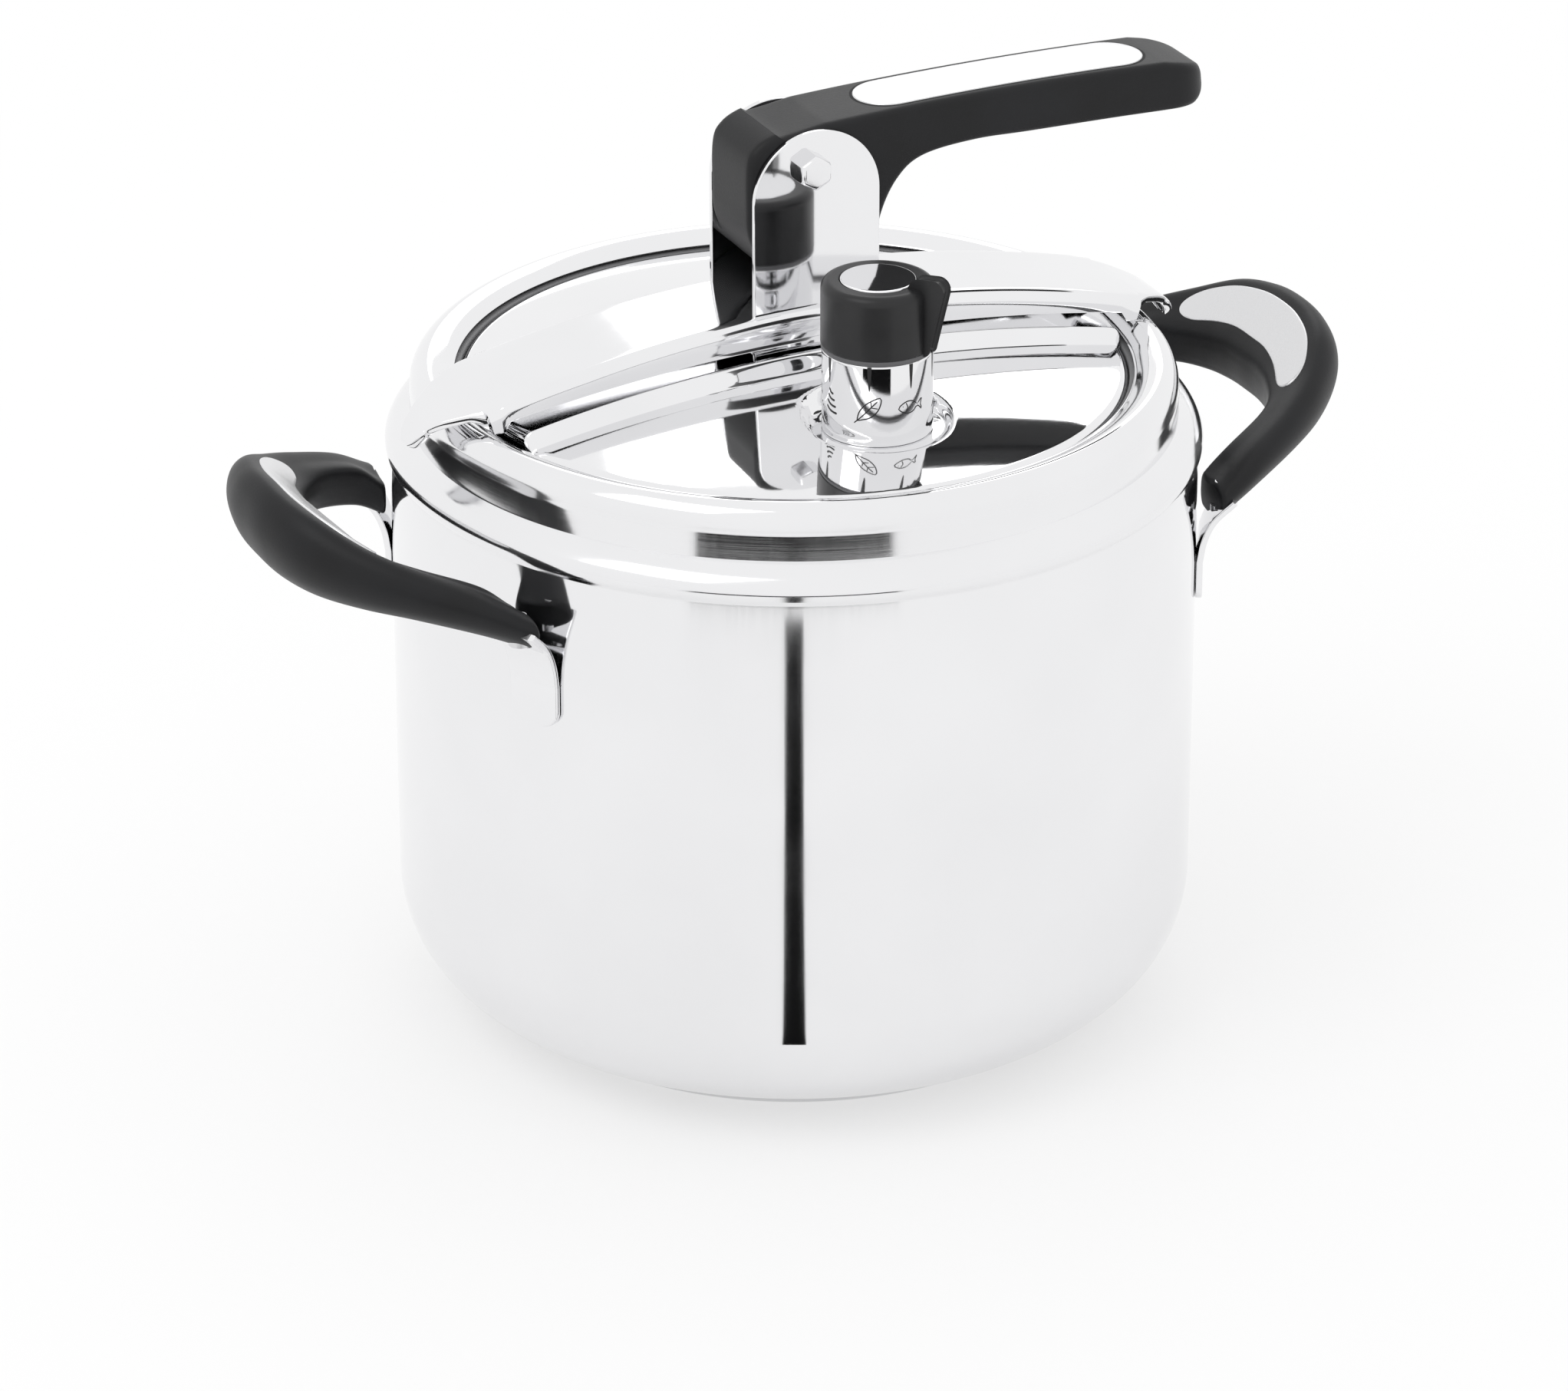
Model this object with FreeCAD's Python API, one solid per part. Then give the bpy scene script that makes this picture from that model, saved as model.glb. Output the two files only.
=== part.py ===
"""Stovetop pressure cooker with an inside lid, an arched bridge and a cam lever.

Frame: millimetres, Z up, origin at the centre of the base.  X runs through both side
handles, the bridge and the lever; the control knob faces the -Y side.

How it works: the bridge stands on the pot's rim.  Two ears, welded to the lid, pass up
through it and carry the lever on a bolt.  The lever's cam bears on the bridge, so closing
the lever pulls the lid and its gasket up under the rim, and opening it lets them drop.
"""
import FreeCAD, Part
import math
import os

os.makedirs("parts", exist_ok=True)

V = FreeCAD.Vector
UP = V(0, 0, 1)

# ---- driving dimensions -------------------------------------------------------------
RUN = 0.3              # gap between pieces that move past each other
SEAT = 0.05            # gap between pieces that only rest on each other
SHAFT = 0.05           # radial gap of a pin or spigot in its hole

POT_R = 110.0          # outside of the pot's wall
RIM_Z = 187.0          # top of the rolled rim
POT_SHEET = 1.0
BASE_R = 80.0          # heat-spreading base
BASE_H = 4.0
BASE_SHEET = 0.8
CORNER_W = 34.5        # rounded corner between bottom and wall, across and up
CORNER_H = 33.3
COLLAR_H = 25.0        # crease under the collar, measured down from the rim
COLLAR_OUT = 1.3       # the collar bulges past the wall
BAND_IN = 5.6          # the upright band stands in from the wall
BAND_TOP = 7.8         # its top and bottom edges, measured down from the rim
BAND_LOW = 14.7
RIM_IN = 10.5          # crown of the rim, in from the wall
MOUTH_IN = 17.5        # edge of the mouth, in from the wall
LIP_DROP = 2.6         # the lip dips inwards by this much

LID_GAP = 1.7          # between the mouth and the lid
LID_SHEET = 1.0
LID_RISE = 5.5         # crown of the lid above the rim
LID_FALL = 9.26        # from the crown of the dome to its edge
LID_SKIRT = 9.5        # underside of the lid's turned-down edge, below the rim
LID_EDGE_ROUND = 2.5
FLANGE_W = 8.7         # flange that carries the gasket
STRIP_W = 44.0         # raised strip under the bridge
STRIP_RISE = 9.5       # its crown above the rim
STRIP_FALL = 9.7       # the same along the raised strip
GASKET_H = 5.4

BRIDGE_W = 35.4
BRIDGE_SHEET = 2.0
BRIDGE_RISE = 20.0     # crown of the bridge above the rim
BRIDGE_END_RISE = 5.8  # top of the bridge over the rim's crown
BRIDGE_FOLD = 3.0
SKIRT_RISE = 11.2      # lower edge of its side skirts above the rim, at the middle
SKIRT_END_RISE = 3.0
FOOT_L = 6.5           # length of each foot on the rim
TONGUE_W = 13.0        # hook over the rim
TONGUE_OUT = 15.0      # its reach past the rim's crown

BRACKET_SHEET = 1.5
BRACKET_W = 29.0       # over both ears
EAR_L = 37.0
EAR_RISE = 69.4        # top of the ears above the rim
PIVOT_X = -2.0
PIVOT_RISE = 59.0      # pivot bolt above the rim
BOLT_R = 3.0
HEX_AF = 8.5
HEX_H = 4.5

LEVER_TIP = 120.5      # X of the lever's tip
LEVER_H = 13.0         # height of the lever's arm
LID_DROP = 21.5        # travel of the lid when the lever goes from 0 to 90 degrees
LEVER_INLAY_L = 85.5
LEVER_INLAY_W = 19.0
LEVER_INLAY_X = 18.0   # its end next to the pivot
LEVER_INLAY_PROUD = 0.3
CAM_GAP = 0.45         # cam to bridge when the lid is closed
INLAY_SHEET = 1.2
INLAY_PROUD = 0.9      # the grip's inlay stands this far out of its slope

VALVE_Y = -52.0
VALVE_R = 14.8
DIMPLE_R = 19.8
DIMPLE_RISE = -1.0     # floor of the dimple against the rim
VALVE_BODY_H = 23.0
VALVE_SPIGOT_R = 12.0
VALVE_SPIGOT_H = 6.0
VALVE_BORE_R = 8.0
VALVE_STEM_R = 5.5
VALVE_STEM_L = 9.0     # below the lid: the stem's thread past its nut
VALVE_SEAL_H = 1.0
VALVE_NUT_H = 5.0
STEAM_BORE_R = 2.0
KNOB_R = 15.15
KNOB_H = 19.0
KNOB_ROUND = 2.5
KNOB_RING_H = 1.3
KNOB_DISC_R = 10.1
KNOB_DISC_H = 1.3
POINTER_R = 20.5
POINTER_W = 4.0
POINTER_RISE = 3.0     # its outer corner above the knob's top
POINTER_ANGLE = -55.0
POPPET_RISE = 5.4      # seat of the poppet above the dimple
POPPET_H = 3.0
POPPET_STEM_R = 2.4
SPRING_ROOM = 4.0      # above the spigot, inside the knob
SPRING_COIL_R = 4.6
SPRING_TURNS = 7
WIRE_R = 0.45

SAFETY_X = 18.0
SAFETY_Y = 50.0
SAFETY_AF = 14.0
SAFETY_H = 7.0
SAFETY_STEM_R = 4.0
SAFETY_PIN_R = 1.5
SAFETY_SEAL_H = 1.2
SAFETY_NUT_H = 4.0
SAFETY_SEAL_DROP = 1.05  # the flat seal touches the dome at its outer edge only
SAFETY_LIFT = 2.0

TAB_ANGLE = 27.036     # of each leg round the pot, from the handle's middle
HANDLE_GRIP_W = 22.0
HANDLE_GRIP_H = 27.0
HANDLE_INNER_H = 14.5  # inner edge of the grip's sloping top, above its underside
HANDLE_Z = 151.5       # underside of the grip
HANDLE_REACH = 39.0    # middle of the grip from the pot's wall
TAB_W = 15.8
TAB_SHEET = 1.8
TAB_LOW = 118.5
SCREW_R = 1.9
SCREW_HEAD_R = 3.0
SCREW_HEAD_H = 1.8
SCREW_L = 8.5
SCREW_OUT = 6.6        # its axis from the pot's wall

# ---- places that follow from them ------------------------------------------------------
BAND_R = POT_R - BAND_IN
RIM_R = POT_R - RIM_IN
MOUTH_R = POT_R - MOUTH_IN
LID_R = MOUTH_R - LID_GAP
LID_CROWN = RIM_Z + LID_RISE
LID_LOW = RIM_Z - LID_SKIRT
FLANGE_LOW = LID_LOW - LID_SHEET
FLANGE_R = LID_R + FLANGE_W
STRIP_CROWN = RIM_Z + STRIP_RISE
BRIDGE_TOP = RIM_Z + BRIDGE_RISE
PIVOT = V(PIVOT_X, 0, RIM_Z + PIVOT_RISE)
EAR_TOP = RIM_Z + EAR_RISE
LEVER_W = BRACKET_W - 2 * (BRACKET_SHEET + RUN)
DIMPLE_Z = RIM_Z + DIMPLE_RISE
VALVE_TOP = DIMPLE_Z + VALVE_BODY_H
SPIGOT_TOP = VALVE_TOP + VALVE_SPIGOT_H
POPPET_Z = DIMPLE_Z + POPPET_RISE
SPRING_TOP = SPIGOT_TOP + SPRING_ROOM
KNOB_TOP = VALVE_TOP + KNOB_H
HANDLE_HALF_SPAN = POT_R * math.sin(math.radians(TAB_ANGLE))
ANCHOR_X = POT_R * math.cos(math.radians(TAB_ANGLE))
GRIP_X = POT_R + HANDLE_REACH


# ---- helpers ---------------------------------------------------------------------------
def save(shape, name):
    """Write one sub-part to its own file."""
    shape.exportStep("parts/" + name + ".step")


def side(a, z):
    """A point of an upright outline: a along X (or the radius), z up."""
    return V(a, 0, z)


def plan(x, y):
    """A point of a level outline."""
    return V(x, y, 0)


def outline(point, start, *steps):
    """Closed wire through steps: one point is a line, two an arc, more a smooth curve."""
    here = point(*start)
    edges = []
    for step in steps + ([start],):
        points = [point(*p) for p in step]
        if here.distanceToPoint(points[-1]) < 1e-6:
            continue
        if len(points) == 1:
            edges.append(Part.makeLine(here, points[0]))
        elif len(points) == 2:
            edges.append(Part.Arc(here, points[0], points[1]).toShape())
        else:
            curve = Part.BSplineCurve()
            curve.interpolate([here] + points)
            edges.append(curve.toShape())
        here = points[-1]
    return Part.Wire(edges)


def turned(start, *steps):
    """Solid of revolution about Z from an outline of (radius, z) points."""
    face = Part.Face(outline(side, start, *steps))
    return face.revolve(V(0, 0, 0), UP, 360)


def across(width, start, *steps):
    """Solid of an (x, z) outline, spread evenly to both sides of the XZ plane."""
    face = Part.Face(outline(side, start, *steps))
    face.translate(V(0, -width / 2, 0))
    return face.extrude(V(0, width, 0))


def upright(low, high, start, *steps):
    """Solid of an (x, y) outline between two heights."""
    face = Part.Face(outline(plan, start, *steps))
    face.translate(V(0, 0, low))
    return face.extrude(V(0, 0, high - low))


def disc(radius, low, high, x=0.0, y=0.0):
    """Upright cylinder."""
    return Part.makeCylinder(radius, high - low, V(x, y, low), UP)


def ring(inner, outer, low, high, x=0.0, y=0.0):
    """Upright tube."""
    return disc(outer, low, high, x, y).cut(disc(inner, low, high, x, y))


def block(x0, x1, y0, y1, z0, z1):
    return Part.makeBox(x1 - x0, y1 - y0, z1 - z0, V(x0, y0, z0))


def hexagon(flats, low, high, x=0.0, y=0.0):
    """Upright hexagonal prism."""
    radius = flats / math.sqrt(3)
    turns = [math.radians(60 * k + 30) for k in range(7)]
    corners = [V(x + radius * math.cos(t), y + radius * math.sin(t), low) for t in turns]
    return Part.Face(Part.makePolygon(corners)).extrude(V(0, 0, high - low))


def arch_radius(half_span, drop):
    """Radius of an arc that falls by drop over half_span from its crown."""
    return (half_span ** 2 + drop ** 2) / (2 * drop)


def arch_z(crown, radius, x):
    """Height of that arc at x."""
    return crown - radius + math.sqrt(radius ** 2 - x ** 2)


LID_SPHERE_R = arch_radius(LID_R, LID_FALL)
STRIP_SPHERE_R = arch_radius(LID_R, STRIP_FALL)


def mirrored(shape, normal):
    return shape.mirror(V(0, 0, 0), normal)


def clean(shape):
    """The single solid that a boolean operation leaves."""
    return shape.removeSplitter().Solids[0]


# ---- pot -------------------------------------------------------------------------------
def ellipse_corner(radius, low, across_r, up_r):
    """Points of the quarter ellipse from the flat bottom out and up to the wall."""
    points = []
    for k in range(1, 9):
        t = math.radians(90 * k / 8)
        r = radius - across_r + across_r * math.sin(t)
        points.append((r, low + up_r - up_r * math.cos(t)))
    return points


def pot_body():
    """Pressed pot: flat bottom, round corner, wall, collar, band and rolled-in rim."""
    s = POT_SHEET
    crease = RIM_Z - COLLAR_H
    band_low = RIM_Z - BAND_LOW
    band_top = RIM_Z - BAND_TOP
    lip_z = RIM_Z - LIP_DROP
    corner_top = BASE_H + CORNER_H
    bulge = (POT_R + COLLAR_OUT, crease + 3.0)
    shoulder = (POT_R - 1.4, crease + 7.6)
    roll = (BAND_R - 1.4, RIM_Z - 2.1)
    return turned(
        (0, BASE_H),
        [(POT_R - CORNER_W, BASE_H)],
        ellipse_corner(POT_R, BASE_H, CORNER_W, CORNER_H),
        [(POT_R, crease)],
        [bulge, shoulder, (BAND_R, band_low)],
        [(BAND_R, band_top)],
        [roll, (RIM_R, RIM_Z)],
        [((RIM_R + MOUTH_R) / 2, RIM_Z - 0.75), (MOUTH_R, lip_z)],
        [(MOUTH_R, lip_z - s)],
        [((RIM_R + MOUTH_R) / 2, RIM_Z - 0.75 - s), (RIM_R, RIM_Z - s)],
        [(roll[0] - 0.75, roll[1] - 0.7), (BAND_R - s, band_top)],
        [(BAND_R - s, band_low)],
        [(shoulder[0] - s, shoulder[1] - 0.3), (bulge[0] - s, bulge[1]), (POT_R - s, crease)],
        [(POT_R - s, corner_top)],
        ellipse_corner(POT_R - s, BASE_H + s, CORNER_W - s, CORNER_H - s)[-2::-1]
        + [(POT_R - CORNER_W, BASE_H + s)],
        [(0, BASE_H + s)],
    )


def base_core():
    """Aluminium disc that spreads the heat, closed in between the pot and the cap."""
    r = BASE_R - BASE_SHEET
    return turned((0, BASE_SHEET), [(r - 1.2, BASE_SHEET)],
                  [(r - 0.35, BASE_SHEET + 0.35), (r, BASE_SHEET + 1.2)],
                  [(r, BASE_H)], [(0, BASE_H)])


def base_cap():
    """Thin steel cup around the core; its flat underside is what the cooker stands on."""
    body = turned((0, 0), [(BASE_R - 2, 0)], [(BASE_R - 0.6, 0.6), (BASE_R, 2)],
                  [(BASE_R, BASE_H)], [(0, BASE_H)])
    return clean(body.cut(base_core()))


# ---- lid -------------------------------------------------------------------------------
def lid_filling(inset):
    """The lid's outer form as a solid, or its inner form when inset by the sheet."""
    r = LID_R - inset
    crown = LID_CROWN - inset
    edge_z = arch_z(crown, LID_SPHERE_R, r)
    e = LID_EDGE_ROUND
    dome = turned((0, FLANGE_LOW), [(r, FLANGE_LOW)], [(r, edge_z - e)],
                  [(r - 0.3 * e, edge_z - 0.3 * e), (r - e, arch_z(crown, LID_SPHERE_R, r - e))],
                  [(r / 2, arch_z(crown, LID_SPHERE_R, r / 2)), (0, crown)])
    top = STRIP_CROWN - inset
    end_x = r - 1.0
    end_z = arch_z(top, STRIP_SPHERE_R, end_x)
    strip = across(STRIP_W - 2 * inset, (-end_x, FLANGE_LOW), [(-end_x, end_z)],
                   [(0, top), (end_x, end_z)], [(end_x, FLANGE_LOW)])
    strip = strip.common(disc(r, FLANGE_LOW, top + 1))
    dimple = disc(DIMPLE_R + inset, DIMPLE_Z - inset, top, 0, VALVE_Y)
    return dome.fuse(strip).cut(dimple)


def lid_panel(outer):
    """Domed sheet with a raised strip, a dimple for the valve and a flange for the gasket."""
    flange = ring(LID_R - LID_SHEET, FLANGE_R, FLANGE_LOW, LID_LOW)
    holes = [disc(VALVE_STEM_R + SEAT, FLANGE_LOW, STRIP_CROWN, 0, VALVE_Y),
             disc(SAFETY_STEM_R + SEAT, FLANGE_LOW, STRIP_CROWN, SAFETY_X, SAFETY_Y)]
    return clean(outer.cut(lid_filling(LID_SHEET)).fuse(flange).cut(holes))


def gasket():
    """Rubber ring on the flange; its lips open towards the steam."""
    low = LID_LOW
    high = LID_LOW + GASKET_H
    outer = FLANGE_R + 1.3
    return turned((LID_R + SEAT, low), [(outer, low)], [(outer - 3, (low + high) / 2)],
                  [(outer, high)], [(LID_R + SEAT, high)])


def bracket(lid_outer):
    """U of sheet steel welded on the lid's strip, with an ear on each side of the lever."""
    half = EAR_L / 2
    straight = EAR_TOP - half
    low = STRIP_CROWN - 2
    body = across(BRACKET_W, (-half, low), [(half, low)], [(half, straight)],
                  [(0, EAR_TOP), (-half, straight)])
    gap = block(-half - 1, half + 1, -BRACKET_W / 2 + BRACKET_SHEET,
                BRACKET_W / 2 - BRACKET_SHEET, STRIP_CROWN + BRACKET_SHEET, EAR_TOP + 1)
    bolt_hole = across(BRACKET_W + 2, *circle_steps(PIVOT.x, PIVOT.z, BOLT_R + SEAT))
    return clean(body.cut([gap, lid_outer, bolt_hole]))


def circle_steps(a, z, radius):
    """Steps of a full circle for an outline."""
    return ((a + radius, z), [(a, z + radius), (a - radius, z)], [(a, z - radius), (a + radius, z)])


# ---- bridge ----------------------------------------------------------------------------
def bridge():
    """Arched channel that stands on the rim, with a hook over the rim at each end."""
    s = BRIDGE_SHEET
    half = BRIDGE_W / 2
    top_r = arch_radius(RIM_R, BRIDGE_RISE - BRIDGE_END_RISE)
    skirt_crown = RIM_Z + SKIRT_RISE
    end = math.sqrt(RIM_R ** 2 - half ** 2) + FOOT_L / 2
    foot_in = end - FOOT_L
    skirt_x = foot_in - 3.0
    skirt_r = arch_radius(skirt_x, SKIRT_RISE - SKIRT_END_RISE)
    foot_z = RIM_Z + SEAT
    corner = end - 4.0
    corner_z = arch_z(BRIDGE_TOP, top_r, corner)
    skirt_z = arch_z(skirt_crown, skirt_r, skirt_x)
    channel = across(
        BRIDGE_W, (-corner, corner_z), [(0, BRIDGE_TOP), (corner, corner_z)], [(end, foot_z)],
        [(foot_in, foot_z)], [(skirt_x, skirt_z)], [(0, skirt_crown), (-skirt_x, skirt_z)],
        [(-foot_in, foot_z)], [(-end, foot_z)])
    under = BRIDGE_TOP - s
    low = RIM_Z - 10
    hollow = across(
        BRIDGE_W - 2 * s, (-end - 9, low), [(-end - 9, arch_z(under, top_r, end + 9))],
        [(0, under), (end + 9, arch_z(under, top_r, end + 9))], [(end + 9, low)])
    folds = [e for e in channel.Edges
             if e.BoundBox.XLength > 1.9 * corner and e.BoundBox.ZMax > BRIDGE_TOP - 0.01]
    channel = channel.makeFillet(BRIDGE_FOLD, folds).cut(hollow)

    tip = RIM_R + TONGUE_OUT
    tip_z = RIM_Z - BAND_TOP + 2.5
    bend = (corner + tip) / 2 + 1.5
    bend_z = RIM_Z + 2.4
    hook = across(
        BRIDGE_W, (corner - 6, arch_z(BRIDGE_TOP, top_r, corner - 6)), [(corner, corner_z)],
        [(bend, bend_z), (tip, tip_z)], [(tip - s, tip_z - 0.6)],
        [(bend - 0.8, bend_z - s), (corner - 0.4, corner_z - s)],
        [(corner - 6, arch_z(BRIDGE_TOP, top_r, corner - 6) - s)])
    narrow = TONGUE_W / 2
    flat = half - BRIDGE_FOLD
    shape = upright(low - 20, BRIDGE_TOP, (corner - 8, -flat), [(corner, -flat)],
                    [(tip - 4, -narrow)], [(tip, 0), (tip - 4, narrow)], [(corner, flat)],
                    [(corner - 8, flat)])
    hook = hook.common(shape)
    body = channel.fuse([hook, mirrored(hook, V(1, 0, 0))])

    ear = BRACKET_W / 2
    slot_y = ear - BRACKET_SHEET - RUN
    for sign in (-1, 1):
        y0, y1 = sorted((sign * slot_y, sign * (ear + RUN)))
        body = body.cut(block(-EAR_L / 2 - RUN, EAR_L / 2 + RUN, y0, y1, RIM_Z, BRIDGE_TOP + 1))
    return clean(body)


# ---- lever -----------------------------------------------------------------------------
def cam_points():
    """Cam whose reach shrinks evenly with the lever's angle, from its foot to its back.

    With reach h(t) = h0 - c t, the outline is (-h sin t + c cos t, -h cos t - c sin t)
    from the pivot, so the lid drops by c for each radian that the lever opens.
    """
    contact = LID_DROP / (math.pi / 2)
    reach = PIVOT_RISE - BRIDGE_RISE - CAM_GAP
    points = []
    for k in range(0, 11):
        t = math.radians(9 * k)
        h = reach - contact * t
        x = -h * math.sin(t) + contact * math.cos(t)
        z = -h * math.cos(t) - contact * math.sin(t)
        points.append((PIVOT.x + x, PIVOT.z + z))
    return points


def lever_top(x):
    """Height of the lever's gently raised top."""
    return PIVOT.z + 13.0 - (x - 70.0) ** 2 * 0.00045


def lever_blank():
    """The lever's whole body before its bolt hole and the seat of its inlay."""
    cam = cam_points()
    foot = cam[0]
    back = cam[-1]
    top = lever_top
    tip = LEVER_TIP
    under = PIVOT.z + 12.6 - LEVER_H
    body = across(
        LEVER_W, foot, cam[1:], [(back[0], PIVOT.z + 2)],
        [(back[0] + 3.4, PIVOT.z + 7.6), (PIVOT.x - 5, top(0) - 1.0)], [(2, top(2))],
        [(70, top(70)), (tip - 14, top(tip - 14))],
        [(tip - 3.5, PIVOT.z + 9.2), (tip, PIVOT.z + 4.5)],
        [(tip - 3, PIVOT.z - 2.5), (tip - 9, PIVOT.z - 1.5)], [(48, under - 0.4)],
        [(33, under - 2.3), (25.5, under - 7.5), (20.5, under - 17), (18, under - 30),
         (foot[0] + 3.2, foot[1] + 1.4)])
    half = LEVER_W / 2
    low = foot[1] - 1
    nose = tip - 11
    plan_shape = upright(low, PIVOT.z + 20, (back[0] - 1, -half), [(nose, -half)],
                         [(nose + 8.5, -half + 5), (tip + 1, 0), (nose + 8.5, half - 5), (nose, half)],
                         [(back[0] - 1, half)])
    return body.common(plan_shape)


def stadium(x0, x1, half, low, high):
    """Upright slab with round ends."""
    return upright(low, high, (x0 + half, -half), [(x1 - half, -half)],
                   [(x1, 0), (x1 - half, half)], [(x0 + half, half)],
                   [(x0, 0), (x0 + half, -half)])


def lever_inlay():
    """Steel strip let into the lever's top, following its curve."""
    x0 = LEVER_INLAY_X
    x1 = x0 + LEVER_INLAY_L
    slab = stadium(x0, x1, LEVER_INLAY_W / 2, PIVOT.z, PIVOT.z + 20)
    near = x0 - 3
    middle = (x0 + x1) / 2
    far = x1 + 3
    proud = LEVER_INLAY_PROUD
    low = proud - INLAY_SHEET
    sheet = across(LEVER_W, (near, lever_top(near) + low), [(near, lever_top(near) + proud)],
                   [(middle, lever_top(middle) + proud), (far, lever_top(far) + proud)],
                   [(far, lever_top(far) + low)],
                   [(middle, lever_top(middle) + low), (near, lever_top(near) + low)])
    return clean(slab.common(sheet))


def lever(inlay):
    """Moulded lever with its cam, its bolt hole and the seat of its inlay."""
    hole = across(LEVER_W + 2, *circle_steps(PIVOT.x, PIVOT.z, BOLT_R + SHAFT))
    return clean(lever_blank().cut([hole, inlay]))


def pivot_bolt():
    """Hexagon-head bolt through both ears and the lever."""
    out = BRACKET_W / 2
    shank = disc(BOLT_R, -out, out + HEX_H + 1.5)
    head = hexagon(HEX_AF, -out - HEX_H, -out)
    return laid_along_y(shank.fuse(head))


def pivot_nut():
    out = BRACKET_W / 2
    return laid_along_y(hexagon(HEX_AF, out, out + HEX_H).cut(disc(BOLT_R, out, out + HEX_H)))


def laid_along_y(shape):
    """Turn an upright piece so that its +Z points along +Y, and carry it to the pivot."""
    shape.rotate(V(0, 0, 0), V(1, 0, 0), -90)
    shape.translate(PIVOT)
    return shape


# ---- pressure valve and its knob -----------------------------------------------------------

def lid_under(x, y):
    """Height of the lid's underside away from the strip and the dimple."""
    return arch_z(LID_CROWN - LID_SHEET, LID_SPHERE_R - LID_SHEET, math.hypot(x, y))


def valve_body():
    """Turned steel body: stem through the lid, chamber for the poppet, spigot for the knob."""
    stem_low = DIMPLE_Z - LID_SHEET - VALVE_STEM_L
    body = turned((0, stem_low), [(VALVE_STEM_R, stem_low)], [(VALVE_STEM_R, DIMPLE_Z)],
                  [(VALVE_R - 0.6, DIMPLE_Z)], [(VALVE_R, DIMPLE_Z + 0.6)], [(VALVE_R, VALVE_TOP)],
                  [(VALVE_SPIGOT_R, VALVE_TOP)], [(VALVE_SPIGOT_R, SPIGOT_TOP)],
                  [(0, SPIGOT_TOP)])
    chamber = disc(VALVE_BORE_R, POPPET_Z - RUN, SPIGOT_TOP)
    steam = disc(STEAM_BORE_R, stem_low, POPPET_Z)
    body = body.cut([chamber, steam])
    return at_valve(body)


def at_valve(shape):
    shape.translate(V(0, VALVE_Y, 0))
    return shape


def valve_seal():
    high = DIMPLE_Z - LID_SHEET
    return ring(VALVE_STEM_R, VALVE_STEM_R + 5, high - VALVE_SEAL_H, high, 0, VALVE_Y)


def valve_nut():
    high = DIMPLE_Z - LID_SHEET - VALVE_SEAL_H
    nut = hexagon(2 * VALVE_STEM_R + 7, high - VALVE_NUT_H, high, 0, VALVE_Y)
    return nut.cut(disc(VALVE_STEM_R, high - VALVE_NUT_H, high, 0, VALVE_Y))


def poppet():
    """Weighted valve piece; its cone closes the steam passage."""
    r = VALVE_BORE_R - RUN
    tip = STEAM_BORE_R - RUN
    return at_valve(turned(
        (0, POPPET_Z - 2), [(tip * 0.6, POPPET_Z - 2)], [(tip, POPPET_Z)], [(r, POPPET_Z)],
        [(r, POPPET_Z + POPPET_H)], [(POPPET_STEM_R, POPPET_Z + POPPET_H)],
        [(POPPET_STEM_R, SPIGOT_TOP)], [(0, SPIGOT_TOP)]))


def coil_spring(coil_r, wire_r, low, high, turns, x, y):
    """Round wire wound from low to high."""
    height = high - low - 2 * wire_r
    path = Part.makeHelix(height / turns, height, coil_r)
    circle = Part.Wire(Part.makeCircle(wire_r, V(coil_r, 0, 0), V(0, 1, 0)))
    spring = Part.Wire(path).makePipeShell([circle], True, True)
    spring.translate(V(x, y, low + wire_r))
    return spring


def valve_spring():
    return coil_spring(SPRING_COIL_R, WIRE_R, POPPET_Z + POPPET_H + SEAT, SPRING_TOP - SEAT, SPRING_TURNS,
                       0, VALVE_Y)


def cap_disc():
    """Round steel plate in the knob's top."""
    top = KNOB_TOP + 0.3
    return disc(KNOB_DISC_R, top - KNOB_DISC_H, top, 0, VALVE_Y)


def cap_ring():
    """Ring clipped to the knob's lower edge; it runs on the valve body's shoulder."""
    low = VALVE_TOP + SEAT
    return ring(VALVE_SPIGOT_R + 1.5, KNOB_R - 0.1, low, low + KNOB_RING_H, 0, VALVE_Y)


def valve_cap():
    """Control knob with a raised pointer."""
    low = VALVE_TOP + SEAT
    top = KNOB_TOP
    inner = VALVE_SPIGOT_R + SHAFT
    e = KNOB_ROUND
    body = turned((inner, low), [(KNOB_R, low)], [(KNOB_R, top - e)],
                  [(KNOB_R - 0.3 * e, top - 0.3 * e), (KNOB_R - e, top)], [(0, top)],
                  [(0, SPRING_TOP)], [(VALVE_BORE_R, SPRING_TOP)],
                  [(VALVE_BORE_R, SPIGOT_TOP + SEAT)],
                  [(inner, SPIGOT_TOP + SEAT)])
    fin_top = top + POINTER_RISE
    fin = across(POINTER_W, (KNOB_R - 1.0, low + KNOB_RING_H + SHAFT),
                 [(POINTER_R - 0.6, fin_top - 0.8)],
                 [(POINTER_R, fin_top)], [(KNOB_DISC_R + 1.0, fin_top - 0.4)],
                 [(KNOB_DISC_R + 0.4, top - 0.5)], [(KNOB_R - 1.2, top - 3)])
    fin.rotate(V(0, 0, 0), UP, POINTER_ANGLE)
    knob = at_valve(body.fuse(fin))
    return clean(knob.cut([cap_disc(), cap_ring()]))


# ---- safety valve ----------------------------------------------------------------------
def safety_seat_z():
    """The lid's top where the safety valve stands, at the valve's uphill side."""
    near = math.hypot(SAFETY_X, SAFETY_Y) - SAFETY_AF / 2
    return arch_z(LID_CROWN, LID_SPHERE_R, near)


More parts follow.
